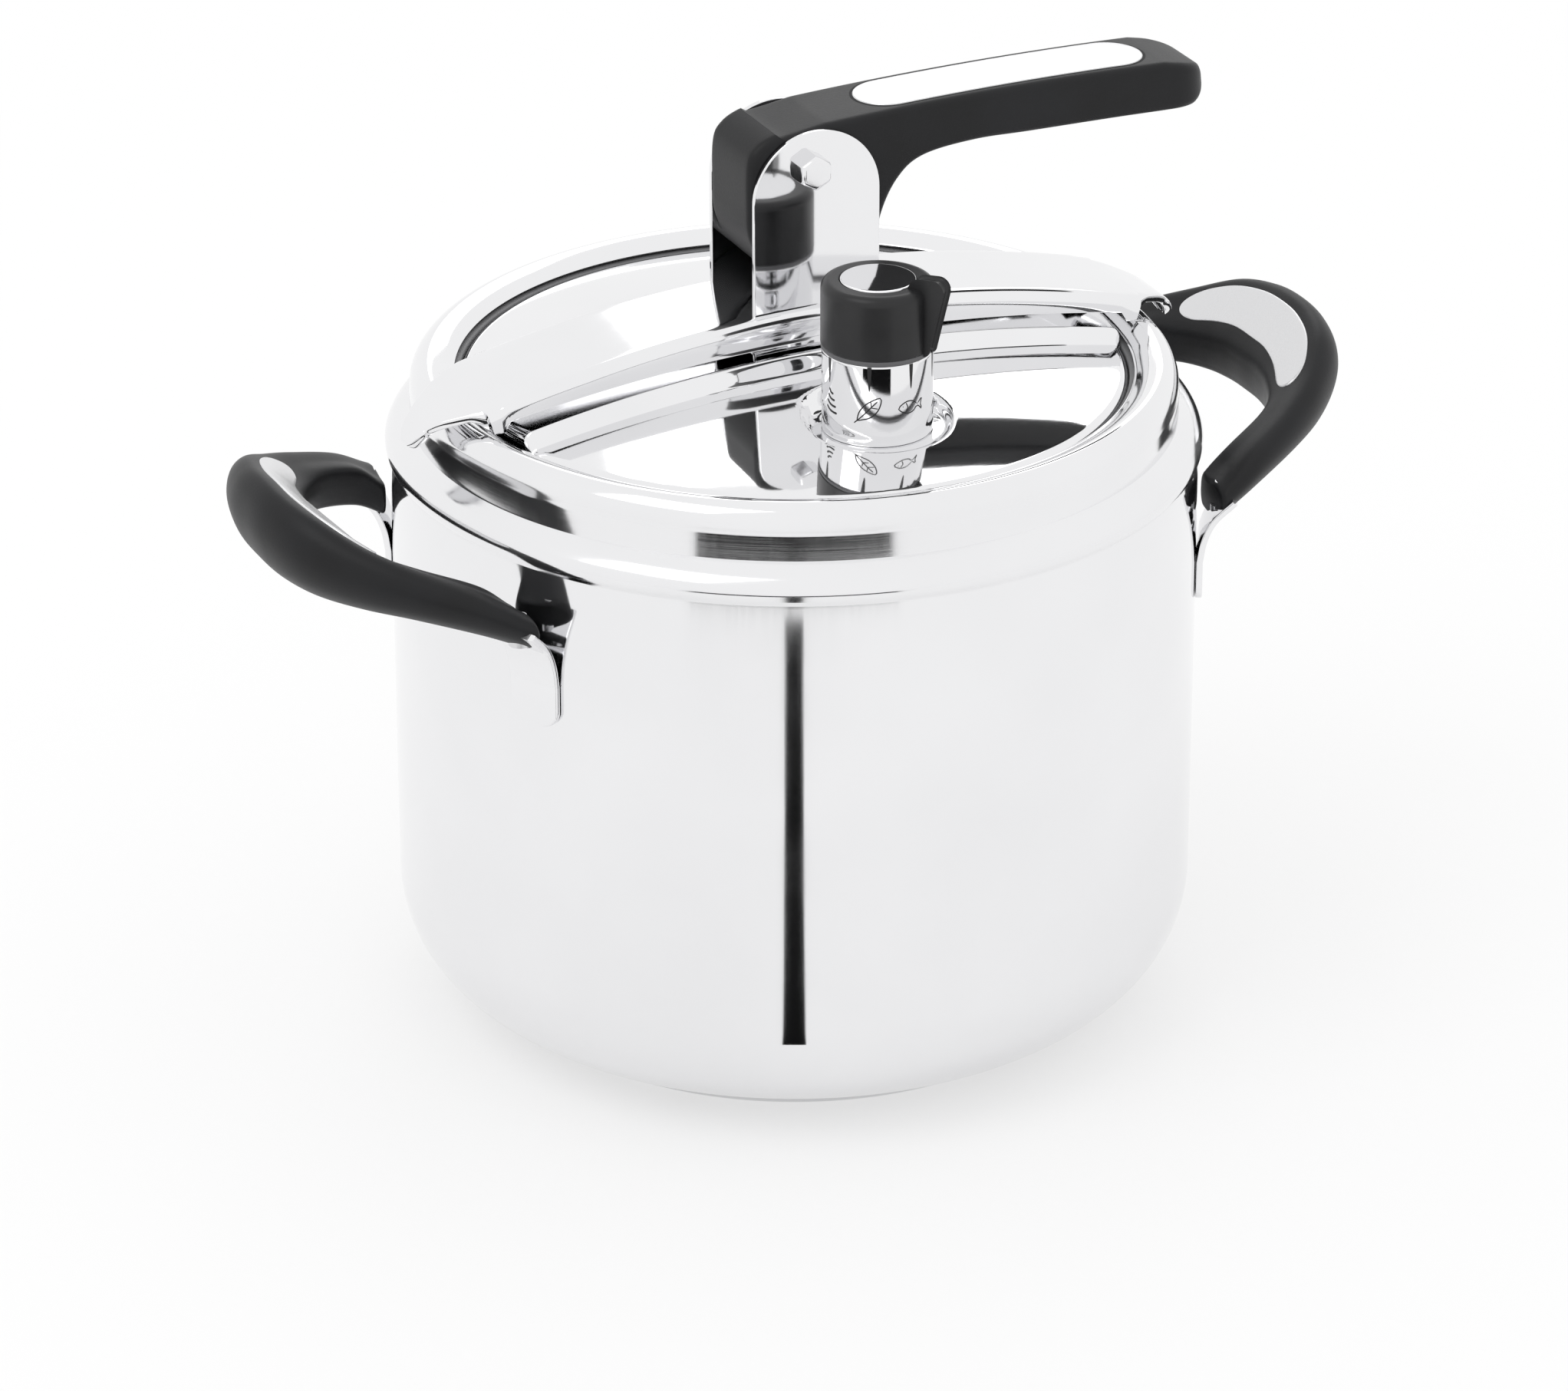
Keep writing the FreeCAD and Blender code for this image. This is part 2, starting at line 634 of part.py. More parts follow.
def safety_body():
    seat = safety_seat_z() + SEAT
    low = lid_under(SAFETY_X, SAFETY_Y) - SAFETY_SEAL_H - SAFETY_NUT_H - 2
    head = hexagon(SAFETY_AF, seat, seat + SAFETY_H, SAFETY_X, SAFETY_Y)
    stem = disc(SAFETY_STEM_R, low, seat + 1, SAFETY_X, SAFETY_Y)
    bore = disc(SAFETY_PIN_R + SHAFT, low, seat + SAFETY_H, SAFETY_X, SAFETY_Y)
    return clean(head.fuse(stem).cut(bore))


def safety_seal():
    high = lid_under(SAFETY_X, SAFETY_Y) - SAFETY_SEAL_DROP
    return ring(SAFETY_STEM_R, SAFETY_STEM_R + 3.5, high - SAFETY_SEAL_H, high,
                SAFETY_X, SAFETY_Y)


def safety_nut():
    high = lid_under(SAFETY_X, SAFETY_Y) - SAFETY_SEAL_DROP - SAFETY_SEAL_H
    nut = hexagon(SAFETY_AF, high - SAFETY_NUT_H, high, SAFETY_X, SAFETY_Y)
    return nut.cut(disc(SAFETY_STEM_R, high - SAFETY_NUT_H, high, SAFETY_X, SAFETY_Y))


def safety_pin():
    """Pin that rises when the pressure is too high; a collar below the stem stops it."""
    seat = safety_seat_z() + SEAT
    stem_low = lid_under(SAFETY_X, SAFETY_Y) - SAFETY_SEAL_H - SAFETY_NUT_H - 2
    collar = stem_low - SAFETY_LIFT - RUN
    pin = disc(SAFETY_PIN_R, collar, seat + SAFETY_H + 0.6, SAFETY_X, SAFETY_Y)
    foot = disc(SAFETY_STEM_R - 0.8, collar - 1.5, collar, SAFETY_X, SAFETY_Y)
    return clean(pin.fuse(foot))


# ---- side handles ----------------------------------------------------------------------
def handle_stations():
    """(x, y, heading, width, underside, outer top, inner top) from a leg's end to mid-grip."""
    h = HANDLE_Z
    y = HANDLE_HALF_SPAN
    w = HANDLE_GRIP_W
    top = HANDLE_GRIP_H
    inner = HANDLE_INNER_H
    return [
        (ANCHOR_X + 5.0, y + 1.2, 6.0, TAB_W + 2.0, h - 9.8, h + 0.5, h - 0.8),
        (GRIP_X - 36.0, y - 1.2, -14.0, w * 0.66, h - 5.6, h + 7.0, h + 5.2),
        (GRIP_X - 21.0, y - 9.0, -33.0, w * 0.64, h - 1.6, h + 13.4, h + 9.4),
        (GRIP_X - 11.0, y - 17.8, -49.0, w * 0.76, h - 0.4, h + 18.4, h + 11.0),
        (GRIP_X - 3.8, y - 28.5, -66.0, w * 0.93, h, h + top * 0.88, h + inner * 0.9),
        (GRIP_X - 0.6, y - 39.5, -82.0, w * 0.99, h, h + top * 0.97, h + inner),
        (GRIP_X, 0.0, -90.0, w, h, h + top, h + inner),
    ]


def station_point(station, out, z):
    """Point at a distance out (away from the pot) across the loop's path, at height z."""
    x, y, heading = station[:3]
    t = math.radians(heading)
    return V(x - out * math.sin(t), y + out * math.cos(t), z)


def handle_section(station):
    """Closed smooth section: flat underside, full outer side, top sloping to the pot."""
    width, low, top, inner = station[3:]
    r = width / 2
    height = top - low
    mid = low + 0.58 * height
    points = [(-0.72 * r, low), (0.05 * r, low - 0.1), (0.72 * r, low + 0.24 * height), (r, mid),
              (0.86 * r, low + 0.88 * height), (0.38 * r, top),
              (-0.28 * r, top - 0.45 * (top - inner)), (-0.88 * r, inner + 0.2),
              (-r, low + 0.6 * (inner - low)), (-0.94 * r, low + 0.2 * (inner - low))]
    curve = Part.BSplineCurve()
    curve.interpolate(Points=[station_point(station, a, z) for a, z in points], PeriodicFlag=True)
    return Part.Wire(curve.toShape())


def whole_loop(half):
    """Stations of both halves, leg to leg; the last of a half is the middle of the grip."""
    other = [(x, -y, -180.0 - heading, *rest) for x, y, heading, *rest in half[:-1]]
    return half + other[::-1]


def loop_blank():
    return Part.makeLoft([handle_section(s) for s in whole_loop(handle_stations())], True, False)


def inlay_section(station, part, above):
    """Thin quadrilateral on the grip's slope; part narrows it towards its ends."""
    width, top, inner = station[3], station[5], station[6]
    r = width / 2
    run = 0.48 * r * part
    rise = 0.40 * (top - inner) * part
    slope = math.hypot(run, rise)
    a = -0.27 * r
    z = (top + inner) / 2
    corners = []
    for along, out in ((-1, above), (1, above), (1, -INLAY_SHEET), (-1, -INLAY_SHEET)):
        corners.append((a + along * run - out * rise / slope, z + along * rise + out * run / slope))
    points = [station_point(station, p, q) for p, q in corners]
    return Part.makePolygon(points + points[:1])


def grip_inlay(above=INLAY_PROUD):
    """Steel inlay let into the sloping top of the grip, or its seat when above is more."""
    grip = handle_stations()[-4:]
    share = (0.55, 0.95, 1.0, 1.0, 1.0, 0.95, 0.55)
    sections = [inlay_section(s, p, above) for s, p in zip(whole_loop(grip), share)]
    return Part.makeLoft(sections, True, False)


def tab():
    """Bent steel strip: welded low on the wall, then out and up into the handle's leg."""
    s = TAB_SHEET
    r = POT_R
    bend_z = HANDLE_Z - 21.0
    low = TAB_LOW
    strip = across(TAB_W, (r, low), [(r, bend_z)],
                   [(r + 1.2, bend_z + 6.5), (r + 3.9, bend_z + 12.4)],
                   [(r + 9.5, bend_z + 18.2)], [(r + 9.5 + 0.72 * s, bend_z + 18.2 - 0.72 * s)],
                   [(r + 3.9 + 0.85 * s, bend_z + 12.4 - 0.55 * s)],
                   [(r + 1.2 + s, bend_z + 6.0), (r + s, bend_z)], [(r + s, low)])
    half = TAB_W / 2
    corner = 4.5
    face = Part.Face(outline(lambda y, z: V(r, y, z), (-half, HANDLE_Z + 5), [(-half, low + corner)],
                             [(-half + 0.3 * corner, low + 0.3 * corner), (-half + corner, low)],
                             [(half - corner, low)],
                             [(half - 0.3 * corner, low + 0.3 * corner), (half, low + corner)],
                             [(half, HANDLE_Z + 5)]))
    face.translate(V(-5, 0, 0))
    strip = strip.common(face.extrude(V(40, 0, 0)))
    wall = disc(POT_R, low - 1, HANDLE_Z + 20)
    strip = strip.fuse(hugging_pad()).cut(wall)
    strip.rotate(V(0, 0, 0), UP, TAB_ANGLE)
    return clean(strip)


def hugging_pad():
    """Weld under the strip's foot, which fills the thin wedge between flat strip and round wall."""
    half = TAB_W / 2 - 1.5
    sag = POT_R - math.sqrt(POT_R ** 2 - half ** 2)
    return block(POT_R - sag - 0.1, POT_R + 0.2, -half, half, TAB_LOW + 4, HANDLE_Z - 24)


def handle_screw():
    """Screw from below through the leg and the strip inside it."""
    r = POT_R + SCREW_OUT
    x = r * math.cos(math.radians(TAB_ANGLE))
    y = r * math.sin(math.radians(TAB_ANGLE))
    head_z = HANDLE_Z - 8.4
    head = disc(SCREW_HEAD_R, head_z, head_z + SCREW_HEAD_H, x, y)
    return clean(head.fuse(disc(SCREW_R, head_z, head_z + SCREW_L, x, y)))


# ---- the whole cooker --------------------------------------------------------------------
def build_pot():
    save(pot_body(), "pot_body")
    save(base_core(), "base_core")
    save(base_cap(), "base_cap")
    save(bridge(), "bridge")


def build_handles():
    """Both handles are one design; the left one is the right one's mirror image."""
    screw = handle_screw()
    strip = tab().cut(screw)
    inlay = grip_inlay()
    flip = V(0, 1, 0)
    fittings = [strip, mirrored(strip, flip), screw, mirrored(screw, flip)]
    seat = grip_inlay(above=4 * INLAY_PROUD)
    pieces = {"handle": clean(loop_blank().cut([seat] + fittings)), "handle_inlay": inlay}
    for name, piece in (("handle_tab", strip), ("handle_screw", screw)):
        pieces[name + "_rear"] = clean(piece)
        pieces[name + "_front"] = clean(mirrored(piece, flip))
    for name, piece in pieces.items():
        save(piece, "right_" + name)
        save(mirrored(piece, V(1, 0, 0)), "left_" + name)


def build_lid():
    outer = lid_filling(0)
    save(lid_panel(outer), "lid_panel")
    save(gasket(), "gasket")
    save(bracket(outer), "bracket")
    save(pivot_bolt(), "pivot_bolt")
    save(pivot_nut(), "pivot_nut")


def build_lever():
    inlay = lever_inlay()
    save(inlay, "lever_inlay")
    save(lever(inlay), "lever")


def build_valves():
    save(valve_body(), "valve_body")
    save(valve_seal(), "valve_seal")
    save(valve_nut(), "valve_nut")
    save(poppet(), "poppet")
    save(valve_spring(), "valve_spring")
    save(valve_cap(), "valve_cap")
    save(cap_disc(), "cap_disc")
    save(cap_ring(), "cap_ring")
    save(safety_body(), "safety_body")
    save(safety_seal(), "safety_seal")
    save(safety_nut(), "safety_nut")
    save(safety_pin(), "safety_pin")


build_pot()
build_handles()
build_lid()
build_lever()
build_valves()
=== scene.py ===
# %% [markdown]
# # A stovetop pressure cooker in polished steel
#
# The construction (pot, lid, bridge, cam lever, valves and handles) comes in as a fixed frame.
# This file gives that frame its looks.  Polished steel is unforgiving: a mirror shows every flat
# facet, so each bright part is remade here as a fine, smooth surface of exactly the same size,
# and the faceted original is hidden behind it.
#
# Lengths are written in millimetres, as on a workshop drawing, and become metres in the mesh.

import math

import bmesh
import bpy
import mathutils
import numpy as np
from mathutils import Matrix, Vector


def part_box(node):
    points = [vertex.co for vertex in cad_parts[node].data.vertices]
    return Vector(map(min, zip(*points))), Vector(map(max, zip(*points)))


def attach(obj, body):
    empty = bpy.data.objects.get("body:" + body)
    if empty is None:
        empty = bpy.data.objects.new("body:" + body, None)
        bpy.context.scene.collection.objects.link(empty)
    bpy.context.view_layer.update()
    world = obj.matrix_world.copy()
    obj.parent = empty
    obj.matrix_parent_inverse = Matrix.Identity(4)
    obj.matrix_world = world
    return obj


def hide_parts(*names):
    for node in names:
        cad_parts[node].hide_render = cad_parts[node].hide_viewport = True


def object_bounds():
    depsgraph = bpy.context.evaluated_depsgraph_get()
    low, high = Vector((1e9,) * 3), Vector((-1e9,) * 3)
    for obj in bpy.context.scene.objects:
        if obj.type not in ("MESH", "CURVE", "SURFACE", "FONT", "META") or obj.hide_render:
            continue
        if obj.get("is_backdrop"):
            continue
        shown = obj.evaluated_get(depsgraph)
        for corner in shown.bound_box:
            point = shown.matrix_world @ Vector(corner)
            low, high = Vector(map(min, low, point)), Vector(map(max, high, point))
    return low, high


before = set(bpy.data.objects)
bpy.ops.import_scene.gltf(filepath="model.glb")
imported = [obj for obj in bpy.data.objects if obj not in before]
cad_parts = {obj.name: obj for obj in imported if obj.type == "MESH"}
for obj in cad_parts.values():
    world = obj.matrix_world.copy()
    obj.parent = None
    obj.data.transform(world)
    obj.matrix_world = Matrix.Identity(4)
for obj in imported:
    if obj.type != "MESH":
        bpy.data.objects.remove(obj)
cad_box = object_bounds()
MM = 0.001


def lows_highs(node):
    """Lowest and highest corner of a frame node, in millimetres."""
    low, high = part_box(node)
    return np.array(low) / MM, np.array(high) / MM


# %% [markdown]
# ## Sizes
#
# Everything is placed from a handful of sizes.  Those that the frame's boxes can tell are read
# from it, so the looks follow if the construction changes; the others are the maker's own
# choices of radius and step.

# %% Sizes read from the frame
POT_LOW, POT_HIGH = lows_highs("pot_body")
RIM_Z = POT_HIGH[2]
POT_R = POT_HIGH[1] - 1.3
BASE_Z = POT_LOW[2]
BRIDGE_LOW, BRIDGE_HIGH = lows_highs("bridge")
BRIDGE_TOP = BRIDGE_HIGH[2]
EAR_LOW, EAR_HIGH = lows_highs("bracket")
EAR_Y = EAR_HIGH[1]
EAR_TOP = EAR_HIGH[2]
VALVE_LOW, VALVE_HIGH = lows_highs("valve_body")
VALVE_Y = (VALVE_LOW[1] + VALVE_HIGH[1]) / 2
VALVE_R = (VALVE_HIGH[0] - VALVE_LOW[0]) / 2
CAP_LOW, CAP_HIGH = lows_highs("valve_cap")
LEVER_LOW, LEVER_HIGH = lows_highs("lever")
BOLT_LOW, BOLT_HIGH = lows_highs("pivot_bolt")
PIVOT_X = (BOLT_LOW[0] + BOLT_HIGH[0]) / 2
PIVOT_Z = (BOLT_LOW[2] + BOLT_HIGH[2]) / 2
FLANGE_R = lows_highs("lid_panel")[1][0]
LID_LOW = lows_highs("lid_panel")[0][2] + 1.0
MOUTH_R = POT_R - 17.5
LID_R = MOUTH_R - 1.7
print("pot radius", round(POT_R, 1), "rim", round(RIM_Z, 1), "bridge top", round(BRIDGE_TOP, 1))

# %% [markdown]
# ## Curves and meshes
#
# Nearly every piece is one of three things: a profile turned about an upright axis, a closed
# section carried along a path, or an outline stacked in layers.  The helpers below turn such
# descriptions into meshes.  Corners are real arcs, because light catches on an edge only where
# the edge has a radius.


# %% Curves
def unit(vectors):
    """Each row divided by its length."""
    length = np.linalg.norm(vectors, axis=-1, keepdims=True)
    return vectors / np.maximum(length, 1e-12)


def arc_corner(before, corner, after, radius, steps):
    """Arc tangent to both sides of a corner: its ends lie r / tan(half the angle) from it."""
    one, two = unit(before - corner), unit(after - corner)
    half = 0.5 * math.acos(np.clip(one @ two, -1, 1))
    reach = 0.49 * min(np.linalg.norm(before - corner), np.linalg.norm(after - corner))
    if radius <= 0 or half > 1.56:
        return corner[None]
    reach = min(radius / math.tan(half), reach)
    radius = reach * math.tan(half)
    middle = corner + unit(one + two) * radius / math.sin(half)
    start, end = corner + one * reach - middle, corner + two * reach - middle
    turn = math.pi - 2 * half
    t = np.linspace(0, 1, steps + 1)[:, None]
    return middle + (np.sin((1 - t) * turn) * start + np.sin(t * turn) * end) / math.sin(turn)


def rounded(corners, radii, closed=True, steps=6, hold=0.35):
    """Outline with each corner rounded; hold points keep the straight runs flat in shading."""
    corners = np.asarray(corners, float)
    count = len(corners)
    pieces = []
    for k in range(count):
        if not closed and k in (0, count - 1):
            pieces.append(corners[k][None])
            continue
        pieces.append(arc_corner(corners[k - 1], corners[k], corners[(k + 1) % count],
                                 radii[k], steps))
    line = []
    for k, piece in enumerate(pieces):
        line.append(piece)
        if k + 1 == count and not closed:
            break
        start, end = piece[-1], pieces[(k + 1) % count][0]
        length = np.linalg.norm(end - start)
        if length > 4 * hold:
            run = (end - start) / length
            line.append(np.array([start + run * hold, end - run * hold]))
    return np.concatenate(line)


def through(points, per_span=8, closed=False):
    """Catmull-Rom curve: each span is a cubic whose end slopes are half the chord between
    the neighbours on either side."""
    p = np.asarray(points, float)
    if closed:
        ring = np.vstack([p[-1], p, p[:2]])
    else:
        ring = np.vstack([2 * p[0] - p[1], p, 2 * p[-1] - p[-2]])
    t = np.linspace(0, 1, per_span, endpoint=False)[:, None]
    a, b, c, d = (ring[k:len(ring) - 3 + k, None, :] for k in range(4))
    curve = 0.5 * (2 * b + (c - a) * t + (2 * a - 5 * b + 4 * c - d) * t ** 2
                   + (3 * b - a - 3 * c + d) * t ** 3)
    curve = curve.reshape(-1, p.shape[1])
    return curve if closed else np.vstack([curve, p[-1]])


def along(points, count):
    """The same line with evenly spaced points."""
    step = np.linalg.norm(np.diff(points, axis=0), axis=1)
    at = np.concatenate([[0], np.cumsum(step)])
    want = np.linspace(0, at[-1], count)
    return np.stack([np.interp(want, at, points[:, k]) for k in range(points.shape[1])], 1)


def smoothstep(x, low, high):
    """0 below low, 1 above high, and 3t^2 - 2t^3 between."""
    t = np.clip((x - low) / (high - low), 0, 1)
    return t * t * (3 - 2 * t)


def arch(crown, radius, x):
    """Height at x of a circle of that radius whose top is at crown."""
    return crown - radius + np.sqrt(radius ** 2 - np.square(x))


# %% Grids into meshes
def grid(points, wrap_rows=False, wrap_columns=False):
    """Vertices and quads of an array of points, rows by columns; a wrap joins last to first."""
    rows, columns = points.shape[:2]
    r = np.arange(rows if wrap_rows else rows - 1)
    c = np.arange(columns if wrap_columns else columns - 1)
    r0, c0 = np.meshgrid(r, c, indexing="ij")
    r1, c1 = (r0 + 1) % rows, (c0 + 1) % columns
    quads = np.stack([r0 * columns + c0, r0 * columns + c1, r1 * columns + c1,
                      r1 * columns + c0], -1).reshape(-1, 4)
    return points.reshape(-1, 3), [tuple(q) for q in quads.tolist()]


def capped(points):
    """A tube of closed rings whose first and last ring are filled with one flat face each."""
    vertices, faces = grid(points, wrap_columns=True)
    columns = points.shape[1]
    last = (points.shape[0] - 1) * columns
    faces.append(tuple(range(columns)))
    faces.append(tuple(range(last + columns - 1, last - 1, -1)))
    return vertices, faces


def piece(name, parts, body, slot, finish, stands_for=(), crease=35):
    """One mesh object from lists of vertices and faces, closed, facing out, and on its body."""
    mesh = bpy.data.meshes.new(name)
    vertices, faces = [], []
    for points, quads in parts:
        offset = sum(len(v) for v in vertices)
        vertices.append(np.asarray(points) * MM)
        faces += [tuple(i + offset for i in q) for q in quads]
    mesh.from_pydata(np.concatenate(vertices).tolist(), [], faces)
    work = bmesh.new()
    work.from_mesh(mesh)
    bmesh.ops.remove_doubles(work, verts=work.verts, dist=2e-6)
    bmesh.ops.dissolve_degenerate(work, edges=work.edges, dist=1e-7)
    bmesh.ops.recalc_face_normals(work, faces=work.faces)
    work.to_mesh(mesh)
    work.free()
    mesh.polygons.foreach_set("use_smooth", [True] * len(mesh.polygons))
    mesh.set_sharp_from_angle(angle=math.radians(crease))
    thing = bpy.data.objects.new(name, mesh)
    bpy.context.scene.collection.objects.link(thing)
    thing.data.materials.append(finish)
    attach(thing, body)
    if stands_for:
        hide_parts(*stands_for)
    mesh.calc_loop_triangles()
    print(name, "triangles", len(mesh.loop_triangles))
    return thing


def turned(profile, centre=(0.0, 0.0), around=256):
    """Profile of (radius, z) turned about an upright axis: (r cos t, r sin t, z)."""
    t = np.linspace(0, 2 * math.pi, around, endpoint=False)
    profile = np.asarray(profile, float)
    r, z = profile[:, 0, None], profile[:, 1, None]
    return np.stack([centre[0] + r * np.cos(t), centre[1] + r * np.sin(t),
                     z + 0 * t], -1)


def carried(centres, side, up, sections):
    """Closed sections on a path: point = centre + a * side + b * up for each (a, b)."""
    return (centres[:, None] + sections[..., :1] * side[:, None]
            + sections[..., 1:] * up[:, None])


def stacked(outline, layers, place):
    """Outline moved along its own outward normal by each layer's offset, at the layer's height.

    The normal is the outline's tangent turned a quarter; place turns (a, b, height) into x, y, z.
    """
    tangent = unit(np.roll(outline, -1, 0) - np.roll(outline, 1, 0))
    normal = np.stack([tangent[:, 1], -tangent[:, 0]], 1)
    rings = [place(outline + normal * off, height) for off, height in layers]
    return np.stack(rings)


def edge_layers(low, high, radius, steps=5, hold=0.3):
    """Layers of a slab with both edges rounded by a quarter circle."""
    t = np.linspace(0, math.pi / 2, steps + 1)
    inset, rise = radius * (1 - np.sin(t)), radius * (1 - np.cos(t))
    bottom = [(-radius - hold, low)] + list(zip(-inset, low + rise))
    top = [(off, high - (z - low)) for off, z in bottom[::-1]]
    return bottom + [(0, low + radius + hold), (0, high - radius - hold)] + top

# %% [markdown]
# ## Finishes
#
# A finish is a small graph of shader nodes.  Written as Python expressions it stays readable:
# the class below wraps a socket, so `1 - mask` adds the Math node that works it out.


# %% A small language for shader graphs
class Graph:
    def __init__(self, name):
        self.material = bpy.data.materials.new(name)
        self.material.use_nodes = True
        self.tree = self.material.node_tree
        self.shader = self.tree.nodes["Principled BSDF"]

    def node(self, kind, settings=None, out=0, **sockets):
        """Adds a node, sets it up, then fills its sockets (named, with _ for a space)."""
        made = self.tree.nodes.new(kind)
        for key, value in (settings or {}).items():
            if key == "stops":
                ramp = made.color_ramp
                while len(ramp.elements) < len(value):
                    ramp.elements.new(0.5)
                for element, (at, colour) in zip(ramp.elements, value):
                    element.position = at
                    element.color = (*colour, 1)
            else:
                setattr(made, key, value)
        for key, value in sockets.items():
            target = made.inputs[int(key[1:]) if key[0] == "i" and key[1:].isdigit()
                                 else key.replace("_", " ")]
            self.join(value, target)
        return Value(self, made.outputs[out])

    def join(self, value, target):
        if isinstance(value, Value):
            self.tree.links.new(value.socket, target)
        else:
            target.default_value = value

    def place(self, x=1.0, y=1.0, z=1.0):
        """Object coordinates in metres, each axis multiplied."""
        where = self.node("ShaderNodeTexCoord", out=3)
        return self.node("ShaderNodeMapping", Vector=where, Scale=(x, y, z))

    def noise(self, where, scale, detail=2.0, rough=0.5):
        return self.node("ShaderNodeTexNoise", Vector=where, Scale=scale, Detail=detail,
                         Roughness=rough)

    def mix(self, amount, one, two):
        """Colour between one and two."""
        return self.node("ShaderNodeMix", {"data_type": "RGBA"}, out=2, i0=amount, i6=one, i7=two)

    def bump(self, height, distance, strength=1.0, under=None):
        extra = {} if under is None else {"Normal": under}
        return self.node("ShaderNodeBump", Height=height, Distance=distance, Strength=strength,
                         **extra)

    def finish(self, **sockets):
        for key, value in sockets.items():
            self.join(value, self.shader.inputs[key.replace("_", " ")])
        return self.material


class Value:
    """A socket that takes part in arithmetic: each operator adds one Math node."""

    def __init__(self, graph, socket):
        self.graph = graph
        self.socket = socket

    def math(self, operation, first, second=0.0, third=0.0):
        return self.graph.node("ShaderNodeMath", {"operation": operation}, i0=first, i1=second,
                               i2=third)

    def __add__(self, other):
        return self.math("ADD", self, other)

    def __sub__(self, other):
        return self.math("SUBTRACT", self, other)

    def __rsub__(self, other):
        return self.math("SUBTRACT", other, self)

    def __mul__(self, other):
        return self.math("MULTIPLY", self, other)

    __radd__ = __add__
    __rmul__ = __mul__

    def between(self, low, high):
        """0 at low and 1 at high, limited to that range."""
        return self.graph.node("ShaderNodeMapRange", Value=self, From_Min=low, From_Max=high)


# %% [markdown]
# ### Polished stainless steel
#
# The real sheet is buffed to a mirror, but not an optical one: fingers and cloth leave faint
# patches of haze, the buffing wheel leaves hairlines, and drawn sheet is never quite flat.
# Haze goes to roughness, the other two to a very shallow bump.


# %% Steel
STEEL = (0.86, 0.86, 0.87, 1)


def polished_steel(name, haze=0.045, hairlines=(1.0, 1.0, 1.0), wave=0.00002, lines=0.0000012,
                   colour=STEEL):
    """Mirror steel; hairlines stretches the buffing marks along the axis with a small factor."""
    g = Graph(name)
    spot = g.noise(g.place(), 22.0, 3.0)
    hair = g.noise(g.place(*hairlines), 900.0, 2.0)
    swell = g.noise(g.place(), 9.0, 1.0)
    rough = haze * 0.55 + haze * 0.9 * spot.between(0.35, 0.75) + haze * 0.5 * hair
    skin = g.bump(hair, lines)
    skin = g.bump(swell, wave, under=skin)
    tint = g.mix(spot.between(0.3, 0.8), colour, tuple(c * 0.965 for c in colour[:3]) + (1,))
    return g.finish(Base_Color=tint, Metallic=1.0, Roughness=rough, Normal=skin)


def satin_steel(name, rough=0.27, grain=(1.0, 12.0, 1.0), colour=(0.74, 0.74, 0.75, 1)):
    """Ground steel: fine parallel scratches widen the highlight across their direction."""
    g = Graph(name)
    scratch = g.noise(g.place(*grain), 1400.0, 3.0, 0.7)
    patch = g.noise(g.place(), 40.0, 2.0)
    tint = g.mix(scratch.between(0.3, 0.7), colour, tuple(c * 0.93 for c in colour[:3]) + (1,))
    return g.finish(Base_Color=tint, Metallic=1.0, Normal=g.bump(scratch, 0.000004),
                    Roughness=rough * 0.8 + rough * 0.3 * patch + rough * 0.25 * scratch)


def pot_steel():
    """The pot's own steel: mirror wall, with a band of fine turning lines round the collar."""
    g = Graph("pot_steel")
    height = g.node("ShaderNodeSeparateXYZ", Vector=g.node("ShaderNodeTexCoord", out=3), out=2)
    low, high = (RIM_Z - 26) * MM, (RIM_Z - 4) * MM
    band = height.between(low, low + 0.002) * (1 - height.between(high, high + 0.002))
    ground = 1 - height.between(0.020, 0.030)
    spot = g.noise(g.place(), 18.0, 3.0)
    turning = g.noise(g.place(3.0, 3.0, 400.0), 6.0, 4.0, 0.7)
    hair = g.noise(g.place(1.0, 1.0, 0.04), 900.0, 2.0)
    swell = g.noise(g.place(1.0, 1.0, 0.35), 8.0, 1.0)
    rough = 0.035 + 0.05 * spot.between(0.35, 0.8) + 0.03 * hair + 0.10 * (band * turning)
    rough = rough + 0.08 * ground
    skin = g.bump(turning * band, 0.000004)
    skin = g.bump(hair, 0.000001, under=skin)
    skin = g.bump(swell, 0.00003, under=skin)
    tint = g.mix(spot.between(0.3, 0.8), STEEL, (0.83, 0.83, 0.84, 1))
    return g.finish(Base_Color=tint, Metallic=1.0, Roughness=rough, Normal=skin)


# %% [markdown]
# ### Black plastic
#
# The lever and the handles are moulded in a heat-proof black plastic.  The mould is lightly
# eroded, so the surface has a fine leathery grain that spreads highlights into a soft
# blue-grey sheen.  Tiny painted glints are scattered through it: lighter specks in the base
# colour that stand in for sparkles where a grain faces the light.


# %% Plastic and rubber
def moulded_black(name, rough=0.40, grain=0.000035, grey=0.009):
    g = Graph(name)
    fine = g.noise(g.place(), 1500.0, 3.0, 0.6)
    cloud = g.noise(g.place(), 55.0, 3.0)
    painted_glint = g.node("ShaderNodeTexVoronoi", Vector=g.place(), Scale=1900.0)
    light = (grey * 1.45, grey * 1.5, grey * 1.7, 1)
    tint = g.mix(cloud.between(0.3, 0.75), (grey, grey, grey * 1.08, 1), light)
    # Painted glints: small random specks of the base colour are made lighter, in place of sparkles of light on
    # the grain.
    tint = g.mix(0.35 * (1 - painted_glint.between(0.0, 0.22)), tint, (0.026, 0.027, 0.030, 1))
    worn = rough * 0.85 + rough * 0.25 * cloud + rough * 0.2 * fine
    return g.finish(Base_Color=tint, Roughness=worn, Normal=g.bump(fine, grain, 0.8),
                    Specular_IOR_Level=0.25)


